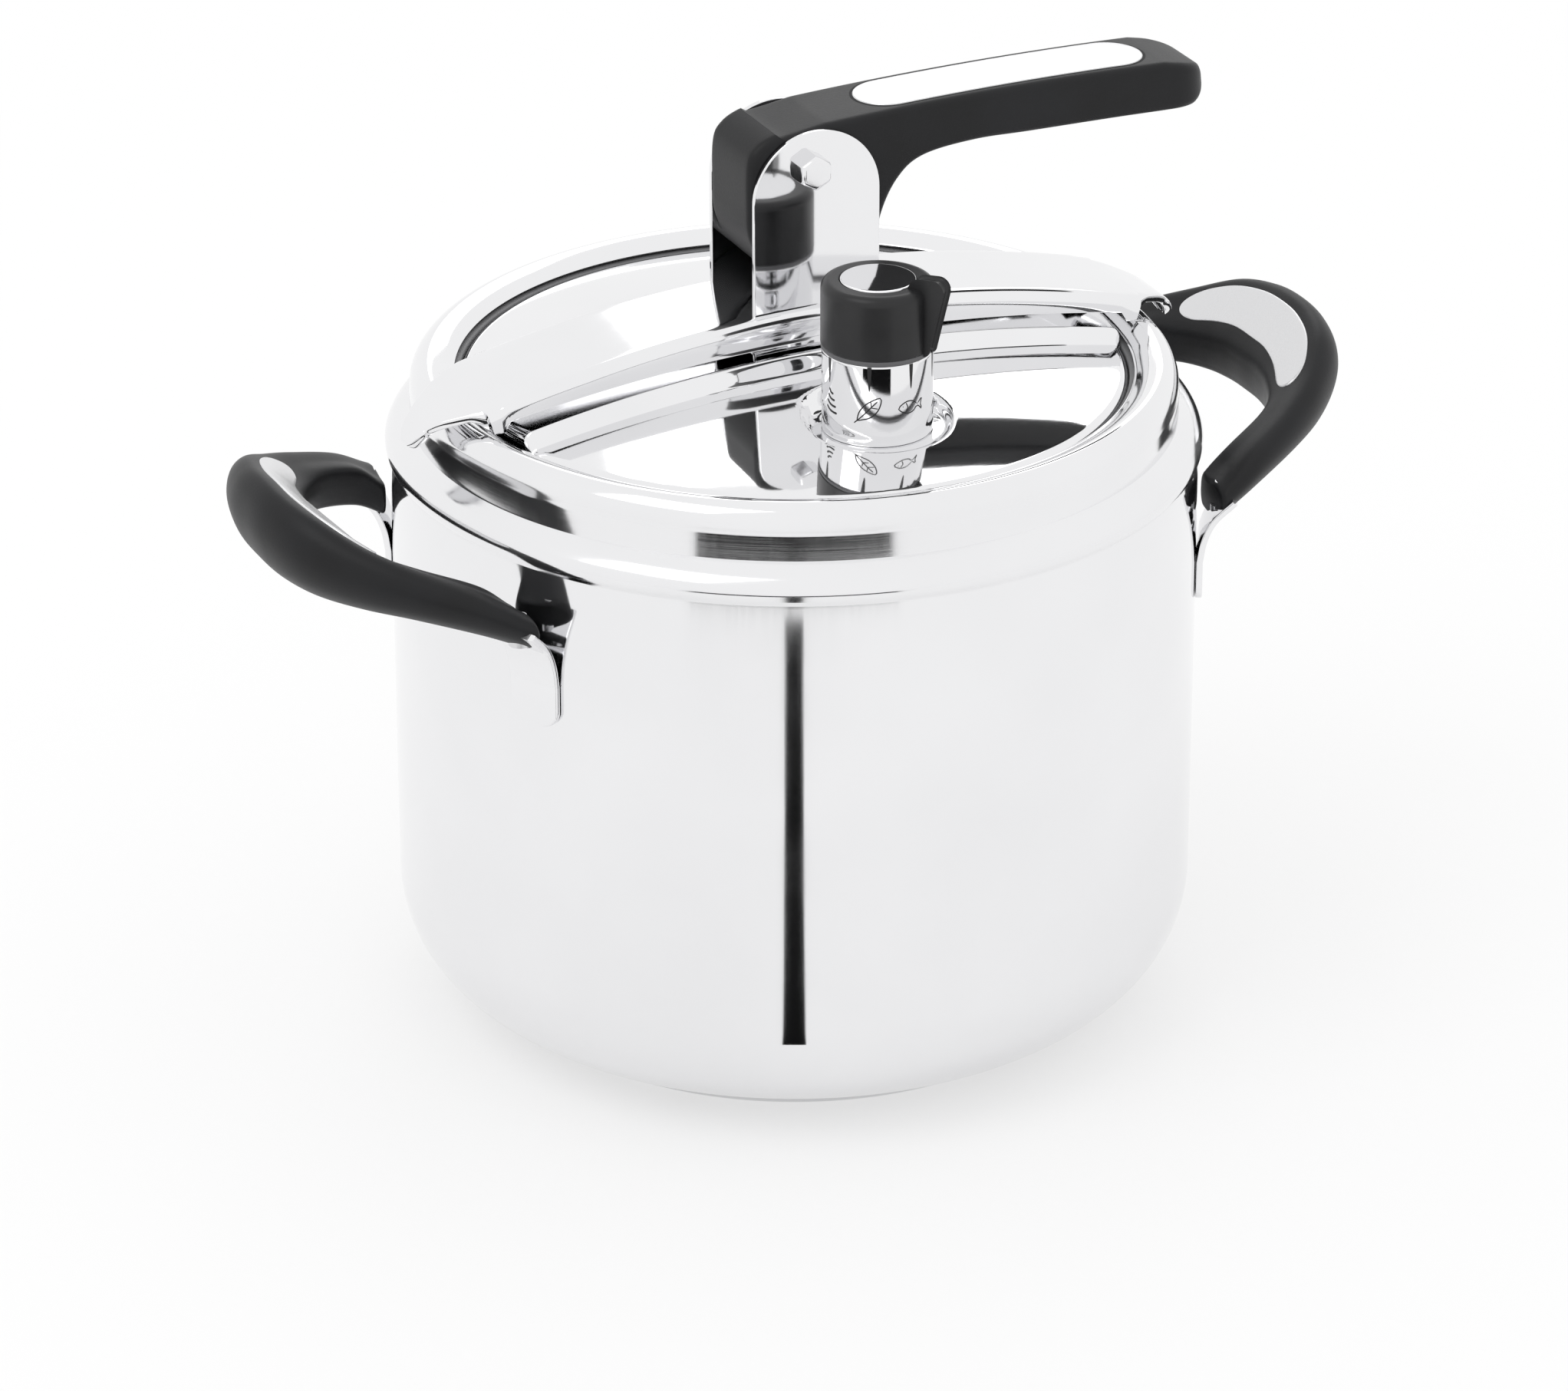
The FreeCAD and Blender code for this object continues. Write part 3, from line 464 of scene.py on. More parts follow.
def knob_black():
    """The knob's plastic is smoother than the handles', with a soft gloss."""
    g = Graph("knob_black")
    fine = g.noise(g.place(), 1300.0, 2.0)
    cloud = g.noise(g.place(), 90.0, 3.0)
    tint = g.mix(cloud.between(0.3, 0.7), (0.013, 0.013, 0.014, 1), (0.019, 0.019, 0.020, 1))
    return g.finish(Base_Color=tint, Roughness=0.24 + 0.08 * cloud + 0.06 * fine,
                    Normal=g.bump(fine, 0.000010, 0.6), Specular_IOR_Level=0.35)


def plain_grey(name, colour, rough, grain=0.00001, scale=700.0):
    """Dull rubber, plastic or cast metal with a faint mottle."""
    g = Graph(name)
    fine = g.noise(g.place(), scale, 3.0)
    cloud = g.noise(g.place(), 60.0, 2.0)
    tint = g.mix(cloud, tuple(c * 0.85 for c in colour) + (1,),
                 tuple(min(c * 1.12, 1) for c in colour) + (1,))
    return g.finish(Base_Color=tint, Roughness=rough * 0.9 + rough * 0.2 * fine,
                    Normal=g.bump(fine, grain))


POT_STEEL = pot_steel()
LID_STEEL = polished_steel("lid_steel", haze=0.04, hairlines=(0.06, 1.0, 1.0))
BRIDGE_STEEL = polished_steel("bridge_steel", haze=0.055, hairlines=(0.05, 1.0, 1.0))
TAB_STEEL = polished_steel("tab_steel", haze=0.06, hairlines=(1.0, 1.0, 0.06))
VALVE_STEEL = polished_steel("valve_steel", haze=0.05, hairlines=(1.0, 1.0, 8.0), wave=0.000005)
BOLT_CHROME = polished_steel("bolt_chrome", haze=0.07, wave=0.000004)
BASE_STEEL = satin_steel("base_steel", rough=0.2, grain=(1.0, 1.0, 6.0))
INLAY_STEEL = satin_steel("inlay_steel", rough=0.25, grain=(1.0, 14.0, 1.0))
SCREW_STEEL = satin_steel("screw_steel", rough=0.3)
SPRING_STEEL = satin_steel("spring_steel", rough=0.3, colour=(0.6, 0.6, 0.6, 1))
HANDLE_BLACK = moulded_black("handle_black")
KNOB_BLACK = knob_black()
GASKET_RUBBER = plain_grey("gasket_rubber", (0.16, 0.16, 0.165), 0.55)
RING_GREY = plain_grey("ring_grey", (0.11, 0.11, 0.115), 0.38)
CORE_ALUMINIUM = plain_grey("core_aluminium", (0.6, 0.6, 0.61), 0.4)
print("finishes:", len(bpy.data.materials))

# %% [markdown]
# ### Finishes on the parts that stay as they are
#
# Screws, nuts, springs and the inner valve parts are small and their shape is already right,
# so they keep the frame's own meshes and only change material.

# %% Small parts
KEPT = {
    "base_core": CORE_ALUMINIUM, "valve_seal": GASKET_RUBBER, "safety_seal": GASKET_RUBBER,
    "valve_nut": VALVE_STEEL, "safety_nut": VALVE_STEEL, "safety_body": VALVE_STEEL,
    "safety_pin": SCREW_STEEL, "poppet": VALVE_STEEL, "valve_spring": SPRING_STEEL,
}
for side in ("left", "right"):
    for end in ("front", "rear"):
        KEPT[side + "_handle_screw_" + end] = SCREW_STEEL
for node, material in KEPT.items():
    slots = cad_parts[node].data.materials
    for k in range(len(slots)):
        slots[k] = material
    if not slots:
        slots.append(material)
print("small parts:", len(KEPT))

# %% [markdown]
# ## The pot
#
# The pot is drawn from one disc of sheet steel: flat bottom, a generous rounded corner, a
# straight wall, then a rolled collar, a short upright band and a rim curled inwards.  All of
# that is one profile turned about the axis.  The creases at the collar and the band are kept
# crisp, because there the reflections break.

# %% The pot's profile
SHEET = 1.0
CORNER_W, CORNER_H = 34.5, 33.3
CREASE_Z = RIM_Z - 25.0
BAND_R = POT_R - 5.6
BAND_LOW, BAND_TOP = RIM_Z - 14.7, RIM_Z - 7.8
RIM_R = POT_R - 10.5
LIP_Z = RIM_Z - 2.6


def corner_curve(radius, low, wide, tall, count=28):
    """Quarter ellipse from the flat bottom to the wall: sin t across and 1 - cos t up."""
    t = np.linspace(0, math.pi / 2, count)
    return np.stack([radius - wide + wide * np.sin(t), low + tall * (1 - np.cos(t))], 1)


def held(start, end, hold=0.4):
    """A straight run with a point close to each end, which keeps its shading flat."""
    start, end = np.array(start, float), np.array(end, float)
    run = unit(end - start)
    return np.stack([start, start + run * hold, end - run * hold, end])


collar = through([(POT_R, CREASE_Z), (POT_R + 1.15, CREASE_Z + 2.4), (POT_R + 0.9, CREASE_Z + 4.8),
                  (POT_R - 1.2, CREASE_Z + 7.6), (BAND_R, BAND_LOW)], 7)
rim_roll = through([(BAND_R, BAND_TOP), (BAND_R - 0.5, RIM_Z - 4.2), (BAND_R - 2.1, RIM_Z - 1.6),
                    (RIM_R, RIM_Z), (RIM_R - 3.4, RIM_Z - 0.7), (MOUTH_R, LIP_Z)], 8)
inner_rim = through([(MOUTH_R + 0.2, LIP_Z - SHEET), (RIM_R - 3.4, RIM_Z - 0.7 - SHEET),
                     (RIM_R, RIM_Z - SHEET), (BAND_R - 2.7, RIM_Z - 2.5),
                     (BAND_R - SHEET, BAND_TOP)], 5)
inner_collar = through([(BAND_R - SHEET, BAND_LOW), (POT_R - 2.2, CREASE_Z + 7.2),
                        (POT_R - 0.1, CREASE_Z + 3.4), (POT_R - SHEET, CREASE_Z)], 5)
pot_profile = np.concatenate([
    held((0, BASE_Z), (POT_R - CORNER_W, BASE_Z)),
    corner_curve(POT_R, BASE_Z, CORNER_W, CORNER_H),
    held((POT_R, BASE_Z + CORNER_H), (POT_R, CREASE_Z), 1.0), collar,
    held((BAND_R, BAND_LOW), (BAND_R, BAND_TOP)), rim_roll,
    [(MOUTH_R - 0.35, LIP_Z - 0.4)], inner_rim, inner_collar,
    held((POT_R - SHEET, CREASE_Z), (POT_R - SHEET, BASE_Z + CORNER_H), 1.0),
    corner_curve(POT_R - SHEET, BASE_Z + SHEET, CORNER_W - SHEET, CORNER_H - SHEET, 14)[::-1],
    [(0, BASE_Z + SHEET)]])
pot = piece("pot", [grid(turned(pot_profile, around=320), wrap_columns=True)], "pot",
            "pot_steel", POT_STEEL, ["pot_body"], crease=22)

# %% [markdown]
# ### The base
#
# Under the pot sits a thick aluminium disc that spreads the heat, closed in by a thin steel
# cup.  The cup's edge is crisp at the top, where it meets the pot in a fine dark joint.

# %% Base
BASE_R = lows_highs("base_cap")[1][0]
base_profile = np.concatenate([
    held((0, 0.0), (BASE_R - 2.2, 0.0)),
    corner_curve(BASE_R, 0.0, 1.6, 1.6, 8),
    held((BASE_R, 1.6), (BASE_R, BASE_Z - 0.55), 0.2),
    [(BASE_R - 0.15, BASE_Z - 0.25), (BASE_R - 0.6, BASE_Z - 0.1)],
    held((BASE_R - 1.2, BASE_Z - 0.1), (0, BASE_Z - 0.1))])
base = piece("base", [grid(turned(base_profile, around=320), wrap_columns=True)], "pot",
             "base_steel", BASE_STEEL, ["base_cap"])

# %% [markdown]
# ## The lid
#
# The lid is pressed from one sheet: a shallow dome, a raised strip along which the bridge
# lies, and a round dimple in which the pressure valve sits.  It is a height field over an
# oval grid.  The grid's lines are gathered where the sheet bends - along the strip's risers,
# round the dimple and at the edge - so every bend has several faces across it.

# %% Height of the lid's sheet
STRIP_CROWN = RIM_Z + 9.5
STRIP_HALF = 22.0
DIMPLE_Z, DIMPLE_R = RIM_Z - 1.0, 19.8
LID_CROWN, LID_SPHERE = RIM_Z + 5.5, 450.0
EDGE_ROUND = 2.6


def lid_height(x, y):
    """Dome, raised to the strip between its risers, lowered to the dimple's floor, and turned
    down at the edge along a quarter circle."""
    r = np.hypot(x, y)
    dome = arch(LID_CROWN, LID_SPHERE, r)
    strip = arch(STRIP_CROWN, 430.0, x)
    z = dome + (strip - dome) * (1 - smoothstep(np.abs(y), STRIP_HALF - 1.3, STRIP_HALF + 1.5))
    from_valve = np.hypot(x, y - VALVE_Y)
    z = DIMPLE_Z + (z - DIMPLE_Z) * smoothstep(from_valve, DIMPLE_R - 1.9, DIMPLE_R + 1.0)
    into = np.clip((r - (LID_R - EDGE_ROUND)) / EDGE_ROUND, 0, 1)
    return z - EDGE_ROUND * (1 - np.sqrt(np.maximum(1 - into ** 2, 0)))


def gathered(low, high, count, places, spread, weight):
    """Positions from low to high, closer together near the given places.

    The density is 1 plus a bell curve at each place; the positions are even steps of its sum.
    """
    x = np.linspace(low, high, 6000)
    density = 1 + sum(weight * np.exp(-((x - p) / spread) ** 2) for p in places)
    total = np.concatenate([[0], np.cumsum((density[1:] + density[:-1]) / 2)])
    return np.interp(np.linspace(0, total[-1], count), total, x)


# %% Lid sheet
edge = LID_R * 0.9995
lines = gathered(-math.pi / 2 * 0.985, math.pi / 2 * 0.985, 250,
                 [math.asin(v / LID_R) for v in (-72.0, -33.0, -22.0, 22.0)]
                 + [-math.pi / 2 * 0.985, math.pi / 2 * 0.985], 0.035, 5.0)
share = gathered(-1, 1, 170, [-1.0, 1.0, -0.24, 0.24], 0.035, 5.0)
lid_y = np.repeat((edge * np.sin(lines))[:, None], len(share), 1)
lid_x = share[None] * (edge * np.cos(lines))[:, None]
upper = np.stack([lid_x, lid_y, lid_height(lid_x, lid_y)], -1)
lower = upper - [0, 0, SHEET]
sheet_rings = np.concatenate([upper, lower[:, ::-1]], 1)
lid = piece("lid", [capped(sheet_rings)], "lid", "lid_steel", LID_STEEL, ["lid_panel"])

# %% [markdown]
# The sheet's edge turns down into a short skirt and out again into the flange that carries
# the gasket.  Both are plain rings, so they are turned.

# %% Skirt, flange and gasket
edge_z = lid_height(np.array(LID_R - 0.02), np.array(0.0)) - 6.0
skirt_top = arch(LID_CROWN, LID_SPHERE, LID_R) - EDGE_ROUND - 0.2
skirt_profile = np.array([
    (LID_R, skirt_top), (LID_R, LID_LOW + 1.2), (LID_R + 0.35, LID_LOW + 0.35),
    (LID_R + 1.2, LID_LOW), (FLANGE_R - 0.4, LID_LOW), (FLANGE_R, LID_LOW - 0.4),
    (FLANGE_R - 0.4, LID_LOW - SHEET), (LID_R + 0.2, LID_LOW - SHEET),
    (LID_R - SHEET, LID_LOW), (LID_R - SHEET, skirt_top)])
piece("lid_skirt", [grid(turned(skirt_profile, around=320), wrap_rows=True, wrap_columns=True)],
      "lid", "lid_steel", LID_STEEL, ["lid_panel"])
GASKET_LOW, GASKET_HIGH = lows_highs("gasket")
seal_out = GASKET_HIGH[0]
seal_low, seal_high = GASKET_LOW[2], GASKET_HIGH[2]
seal_mid = (seal_low + seal_high) / 2
seal_in = LID_R + 0.05
seal_profile = rounded([(seal_in, seal_low), (seal_out, seal_low), (seal_out - 3, seal_mid),
                        (seal_out, seal_high), (seal_in, seal_high)],
                       [0.5, 0.6, 0.8, 0.6, 0.5], steps=4)
piece("seal_ring", [grid(turned(seal_profile, around=256), wrap_rows=True, wrap_columns=True)],
      "lid", "gasket_rubber", GASKET_RUBBER, ["gasket"])

# %% [markdown]
# ## The bridge
#
# The bridge is a channel of 2 mm steel: an arched top with folded edges and a skirt down each
# side.  Over the rim the skirts end and the top sheet narrows into a hook.  It is one closed
# section carried along the arch; the section's width and the depth of its skirts are
# functions of the distance from the middle.

# %% The bridge's centre line
BRIDGE_HALF = (BRIDGE_HIGH[1] - BRIDGE_LOW[1]) / 2
BRIDGE_END = BRIDGE_HIGH[0]
TOP_RADIUS = (RIM_R ** 2 + 14.2 ** 2) / (2 * 14.2)
GAUGE, FOLD = 2.0, 3.0
FOOT_END = math.sqrt(RIM_R ** 2 - BRIDGE_HALF ** 2) + 3.25
CORNER_X = FOOT_END - 4.0
SKIRT_X = FOOT_END - 9.5
SKIRT_RADIUS = (SKIRT_X ** 2 + 8.2 ** 2) / (2 * 8.2)
TIP_X, TIP_Z = BRIDGE_END, RIM_Z - 5.3
BEND_X, BEND_Z = (CORNER_X + BRIDGE_END) / 2 + 1.5, RIM_Z + 2.4


def bridge_line(count=90):
    """Half of the top's line in the XZ plane: circle of the arch, then a smooth bend down
    over the rim."""
    x = np.linspace(0, CORNER_X - 1.0, count)
    arch_part = np.stack([x, arch(BRIDGE_TOP, TOP_RADIUS, x)], 1)
    corner_z = arch(BRIDGE_TOP, TOP_RADIUS, CORNER_X)
    hook = through([arch_part[-1], (CORNER_X + 3.2, corner_z - 1.1), (BEND_X, BEND_Z),
                    (TIP_X - 3.0, TIP_Z + 4.4), (TIP_X - 0.3, TIP_Z)], 12)
    return np.concatenate([arch_part, hook[1:]])


def skirt_depth(x):
    """How far the skirts hang below the top: to their arched lower edge, to the rim at the
    feet, and nothing past them."""
    top = arch(BRIDGE_TOP, TOP_RADIUS, np.minimum(x, FOOT_END))
    edge = arch(RIM_Z + 11.2, SKIRT_RADIUS, np.minimum(x, SKIRT_X))
    foot_z = RIM_Z + 0.06
    edge = np.where(x > SKIRT_X, edge + (foot_z - edge) * smoothstep(x, SKIRT_X, SKIRT_X + 2.6), edge)
    hang = top - edge
    past = np.clip((x - CORNER_X) / (FOOT_END - CORNER_X), 0, 1)
    return GAUGE + 0.01 + (hang - GAUGE) * (1 - past)


def hook_half(x):
    """Half width: full along the arch, then a straight taper and a rounded tip."""
    flat = BRIDGE_HALF - FOLD * 0.55
    t = np.clip((x - CORNER_X) / (TIP_X - 4.0 - CORNER_X), 0, 1)
    half = np.where(x > CORNER_X, flat + (6.5 - flat) * t, BRIDGE_HALF)
    round_off = np.clip((x - (TIP_X - 3.6)) / 3.6, 0, 1)
    return half * np.sqrt(np.maximum(1 - round_off ** 2, 0.03))


# %% Section and sweep
def channel_section(half, hang):
    """Closed outline (across, up from the top) of a channel, with the same number of points
    for any width and depth."""
    fold = np.minimum(FOLD, hang * 0.45)
    t = np.linspace(0, math.pi / 2, 7)
    outer = np.stack([half - fold + fold * np.sin(t), -fold + fold * np.cos(t)], 1)
    inner_r = max(fold - GAUGE, 0.3)
    inner_half = half - GAUGE
    inner = np.stack([inner_half - inner_r + inner_r * np.sin(t),
                      -GAUGE - inner_r + inner_r * np.cos(t)], 1)
    deep = max(hang, GAUGE + inner_r + 0.02)
    nick = 0.35
    end = [(half, -deep + nick), (half - 0.12, -deep + 0.1), (half - nick, -deep),
           (half - GAUGE + nick, -deep), (inner_half + 0.12, -deep + 0.1), (inner_half, -deep + nick)]
    top = np.stack([np.linspace(0, half - fold, 9), np.zeros(9)], 1)
    under = np.stack([np.linspace(inner_half - inner_r, 0, 9), np.full(9, -GAUGE)], 1)
    right = np.concatenate([top, outer[1:], end, inner[::-1], under[1:]])
    left = right[::-1] * [-1, 1]
    return np.concatenate([right, left[1:-1]])


def bridge_mesh():
    """Sections along the line, each standing square to it."""
    half_line = bridge_line()
    line = np.concatenate([half_line[:0:-1] * [-1, 1], half_line])
    tangent = unit(np.gradient(line, axis=0))
    up = np.stack([-tangent[:, 0] * 0 - tangent[:, 1], tangent[:, 0]], 1)
    x = np.abs(line[:, 0])
    rings = []
    for at, normal, half, hang in zip(line, up, hook_half(x), skirt_depth(x)):
        section = channel_section(half, hang)
        rings.append(np.stack([at[0] + section[:, 1] * normal[0], section[:, 0],
                               at[1] + section[:, 1] * normal[1]], 1))
    return capped(np.stack(rings))


bridge = piece("bridge_arch", [bridge_mesh()], "pot", "bridge_steel", BRIDGE_STEEL, ["bridge"])

# %% [markdown]
# ### Ears, bolt and nut
#
# Two ears rise through slots in the bridge.  They are the arms of a U of 1.5 mm sheet that is
# welded on the lid.  Each arm is its outline stacked in thin layers, with the outer layers
# drawn in a little so that the edge catches the light.


# %% Ears
EAR_HALF = (EAR_HIGH[0] - EAR_LOW[0]) / 2
EAR_SHEET = 1.5
EAR_FOOT = STRIP_CROWN - 0.6


def ear_outline(steps=40):
    """Upright strip with a half-round top."""
    t = np.linspace(0, math.pi, steps)
    centre = EAR_TOP - EAR_HALF
    top = np.stack([EAR_HALF * np.cos(t), centre + EAR_HALF * np.sin(t)], 1)
    left = held((-EAR_HALF, centre), (-EAR_HALF, EAR_FOOT))
    right = held((EAR_HALF, EAR_FOOT), (EAR_HALF, centre))
    return np.concatenate([top, left[1:], right[:-1]])


def along_y(plane, height):
    """(a, b) at a height becomes x, z at a y."""
    return np.stack([plane[:, 0], np.full(len(plane), height), plane[:, 1]], 1)


ear_parts = []
for sign in (-1, 1):
    low, high = sorted((sign * (EAR_Y - EAR_SHEET), sign * EAR_Y))
    ear_parts.append(capped(stacked(ear_outline(), edge_layers(low, high, 0.35, 4, 0.2), along_y)))
plate = rounded([(-EAR_HALF, -EAR_Y + 0.2), (EAR_HALF, -EAR_Y + 0.2), (EAR_HALF, EAR_Y - 0.2),
                 (-EAR_HALF, EAR_Y - 0.2)], [0.3] * 4)
sole = stacked(plate, edge_layers(0.0, EAR_SHEET, 0.3, 3, 0.2),
               lambda flat, h: np.column_stack(
                   [flat, arch(STRIP_CROWN, 430.0, flat[:, 0]) - 0.2 + h + 0 * flat[:, 0]]))
piece("ears", ear_parts + [capped(sole)], "lid", "lid_steel", LID_STEEL, ["bracket"])


# %% Bolt and nut
def hexagon(flats, radius=0.25):
    """Six corners at flats / sqrt(3) from the middle, slightly rounded."""
    t = np.radians(np.arange(6) * 60 + 30)
    corners = np.stack([np.cos(t), np.sin(t)], 1) * flats / math.sqrt(3)
    return rounded(corners, [radius] * 6, steps=3)


def hex_head(flats, low, high, place, washer=0.0):
    """Hexagon with chamfered corners: the outer layers are a disc that cuts its corners."""
    outline = hexagon(flats)
    reach = np.linalg.norm(outline, axis=1, keepdims=True)
    step = 1 if high > low else -1
    rings = []
    for height, limit in ((low, 9e9), (low + step * 0.2, 9e9), (high - step * 1.6, 9e9),
                          (high - step * 1.1, flats * 0.565), (high - step * 0.55, flats * 0.54),
                          (high - step * 0.15, flats * 0.505), (high, flats * 0.46),
                          (high, flats * 0.40)):
        rings.append(place(outline * np.minimum(1, limit / reach), height))
    return capped(np.stack(rings))


def at_pivot(flat, height):
    return np.stack([PIVOT_X + flat[:, 0], np.full(len(flat), height), PIVOT_Z + flat[:, 1]], 1)


def round_bar(radius, low, high, place, around=48):
    """Cylinder with a small chamfer at both ends."""
    t = np.linspace(0, 2 * math.pi, around, endpoint=False)
    circle = np.stack([np.cos(t), np.sin(t)], 1)
    return capped(np.stack([place(circle * (radius + off), h)
                            for off, h in edge_layers(low, high, 0.3, 3, 0.1)]))


BOLT_HEX = (BOLT_HIGH[2] - BOLT_LOW[2])
HEX_FLATS = lows_highs("pivot_nut")
HEX_AF = min(HEX_FLATS[1][0] - HEX_FLATS[0][0], HEX_FLATS[1][2] - HEX_FLATS[0][2])
piece("bolt", [hex_head(HEX_AF, -EAR_Y, BOLT_LOW[1], at_pivot),
               round_bar(3.0, -EAR_Y, BOLT_HIGH[1], at_pivot)],
      "lid", "bolt_chrome", BOLT_CHROME, ["pivot_bolt"])
piece("nut", [hex_head(HEX_AF, EAR_Y, lows_highs("pivot_nut")[1][1], at_pivot)],
      "lid", "bolt_chrome", BOLT_CHROME, ["pivot_nut"])

# %% [markdown]
# ## The lever
#
# The lever is one moulding: a cam at the pivot, a concave bend, and a long flat arm with a
# rounded tip.  It is made as a tube: the top and the underside are two curves in the middle
# plane, matching points on them are joined, and a rounded rectangle is laid across each
# joining line.  So every edge has a soft radius, as a moulding must have.

# %% Outer and inner curve of the lever
LEVER_HALF = (LEVER_HIGH[1] - LEVER_LOW[1]) / 2
LEVER_TIP = LEVER_HIGH[0]
CAM_STEP = 21.5 / (math.pi / 2)
CAM_REACH = PIVOT_Z - BRIDGE_TOP - 0.45


def lever_top(x):
    """Gently raised top: a parabola, highest at x = 70."""
    return PIVOT_Z + 13.0 - (x - 70.0) ** 2 * 0.00045


def cam_curve(count=24):
    """Cam whose reach h = h0 - c t shrinks evenly with the angle t:
    x = -h sin t + c cos t, z = -h cos t - c sin t, from the pivot."""
    t = np.linspace(0, math.pi / 2, count)
    h = CAM_REACH - CAM_STEP * t
    return np.stack([PIVOT_X - h * np.sin(t) + CAM_STEP * np.cos(t),
                     PIVOT_Z - h * np.cos(t) - CAM_STEP * np.sin(t)], 1)


cam = cam_curve()
back = cam[-1]
crown = np.stack([np.linspace(4, LEVER_TIP - 15, 70), lever_top(np.linspace(4, LEVER_TIP - 15, 70))], 1)
outer_curve = np.concatenate([
    cam, through([back, (back[0] + 0.1, PIVOT_Z + 2.0), (back[0] + 2.9, PIVOT_Z + 7.3),
                  (back[0] + 8.5, PIVOT_Z + 10.0), (-9.0, lever_top(-9.0) - 1.1), crown[0]], 8)[1:-1],
    crown, through([crown[-1], (LEVER_TIP - 8.5, PIVOT_Z + 11.0), (LEVER_TIP - 3.0, PIVOT_Z + 8.8),
                    (LEVER_TIP, PIVOT_Z + 4.6)], 9)[1:]])
inner_curve = through([
    cam[0], (cam[0, 0] + 3.2, cam[0, 1] + 1.4), (18.0, PIVOT_Z - 30.4), (20.5, PIVOT_Z - 17.4),
    (25.5, PIVOT_Z - 7.9), (33.0, PIVOT_Z - 2.7), (48.0, PIVOT_Z - 0.8), (65.0, PIVOT_Z - 1.0),
    (90.0, PIVOT_Z - 1.25), (LEVER_TIP - 9.5, PIVOT_Z - 1.6), (LEVER_TIP - 4.0, PIVOT_Z - 0.9),
    (LEVER_TIP - 1.0, PIVOT_Z + 1.3), (LEVER_TIP, PIVOT_Z + 4.4)], 14)


# %% Joining the curves
def matched(outer, inner, pairs, counts):
    """Points on both curves, evenly spread between given pairs of places (share of length)."""
    def at(line, shares):
        step = np.linalg.norm(np.diff(line, axis=0), axis=1)
        s = np.concatenate([[0], np.cumsum(step)]) / step.sum()
        return np.stack([np.interp(shares, s, line[:, k]) for k in (0, 1)], 1)
    one = np.concatenate([np.linspace(a[0], b[0], n, endpoint=False)
                          for a, b, n in zip(pairs, pairs[1:], counts)] + [[1.0]])
    two = np.concatenate([np.linspace(a[1], b[1], n, endpoint=False)
                          for a, b, n in zip(pairs, pairs[1:], counts)] + [[1.0]])
    return at(outer, one), at(inner, two)


def share_at(line, x, after=0.0, z=None):
    """Share of the line's length at the point nearest to (x, z), past a given share."""
    step = np.linalg.norm(np.diff(line, axis=0), axis=1)
    s = np.concatenate([[0], np.cumsum(step)]) / step.sum()
    off = np.abs(line[:, 0] - x) if z is None else np.hypot(line[:, 0] - x, line[:, 1] - z)
    off = np.where(s < after, 9e9, off)
    return s[np.argmin(off)]


pairs = [(0, 0),
         (share_at(outer_curve, back[0], z=back[1]), share_at(inner_curve, 18.0, z=PIVOT_Z - 30.4)),
         (share_at(outer_curve, -14.0, 0.2, z=lever_top(-14) - 1.5),
          share_at(inner_curve, 21.5, z=PIVOT_Z - 14.5)),
         (share_at(outer_curve, 8.0, 0.3), share_at(inner_curve, 27.0, z=PIVOT_Z - 6.6)),
         (share_at(outer_curve, 50.0, 0.3), share_at(inner_curve, 53.0, 0.3)),
         (share_at(outer_curve, LEVER_TIP - 9.0, 0.5), share_at(inner_curve, LEVER_TIP - 8.5, 0.5)),
         (1, 1)]
tops, unders = matched(outer_curve, inner_curve, pairs, [22, 26, 26, 40, 70, 30])


def soft_box(half, height, radius, crown_rise, around=56):
    """Rounded rectangle from the underside (v = 0) to the top (v = height).

    Each corner is a quarter circle; the top bulges by crown_rise in the middle.
    """
    radius = min(radius, half * 0.95, height * 0.48)
    t = np.linspace(0, math.pi / 2, 9)
    u0, v0 = half - radius, height - radius
    right_top = np.stack([u0 + radius * np.sin(t), v0 + radius * np.cos(t)], 1)
    right_low = np.stack([u0 + radius * np.cos(t), radius - radius * np.sin(t)], 1)
    top = np.stack([np.linspace(0, u0, 8, endpoint=False), np.full(8, height)], 1)
    wall = np.stack([np.full(5, half), np.linspace(v0, radius, 7)[1:-1]], 1)
    low = np.stack([np.linspace(u0, 0, 8)[1:], np.zeros(7)], 1)
    right = np.concatenate([top, right_top, wall, right_low, low])
    right[:, 1] += crown_rise * (1 - (right[:, 0] / half) ** 2) * smoothstep(right[:, 1], v0, height)
    left = right[::-1] * [-1, 1]
    return np.concatenate([right, left[1:-1]])


def nose(x):
    """Half width: full, then a rounded end, as half an ellipse seen from above."""
    into = np.clip((x - (LEVER_TIP - 13.0)) / 13.2, 0, 0.999)
    return LEVER_HALF * (1 - into ** 2.6) ** (1 / 2.2)


def lever_mesh():
    rings = []
    for top, under in zip(tops, unders):
        along_line = top - under
        height = max(np.linalg.norm(along_line), 0.25)
        direction = along_line / height if height > 0.3 else np.array([0.0, 1.0])
        half = float(nose(max(top[0], under[0])))
        ring = soft_box(half, height, 2.3, 0.0)
        rings.append(np.stack([under[0] + ring[:, 1] * direction[0], ring[:, 0],
                               under[1] + ring[:, 1] * direction[1]], 1))
    return capped(np.stack(rings))


lever = piece("lever_arm", [lever_mesh()], "lever", "black_handle", HANDLE_BLACK, ["lever"])

# %% [markdown]
# The steel inlay follows the lever's top.  Round its rim a thin near-black ring lies on the
# lever: painted shade that stands for a fine groove.  The inlay's face is very slightly
# domed, which turns the studio's light into one long soft highlight.

# %% Lever inlay
INLAY_LOW, INLAY_HIGH = lows_highs("lever_inlay")
INLAY_HALF = (INLAY_HIGH[1] - INLAY_LOW[1]) / 2


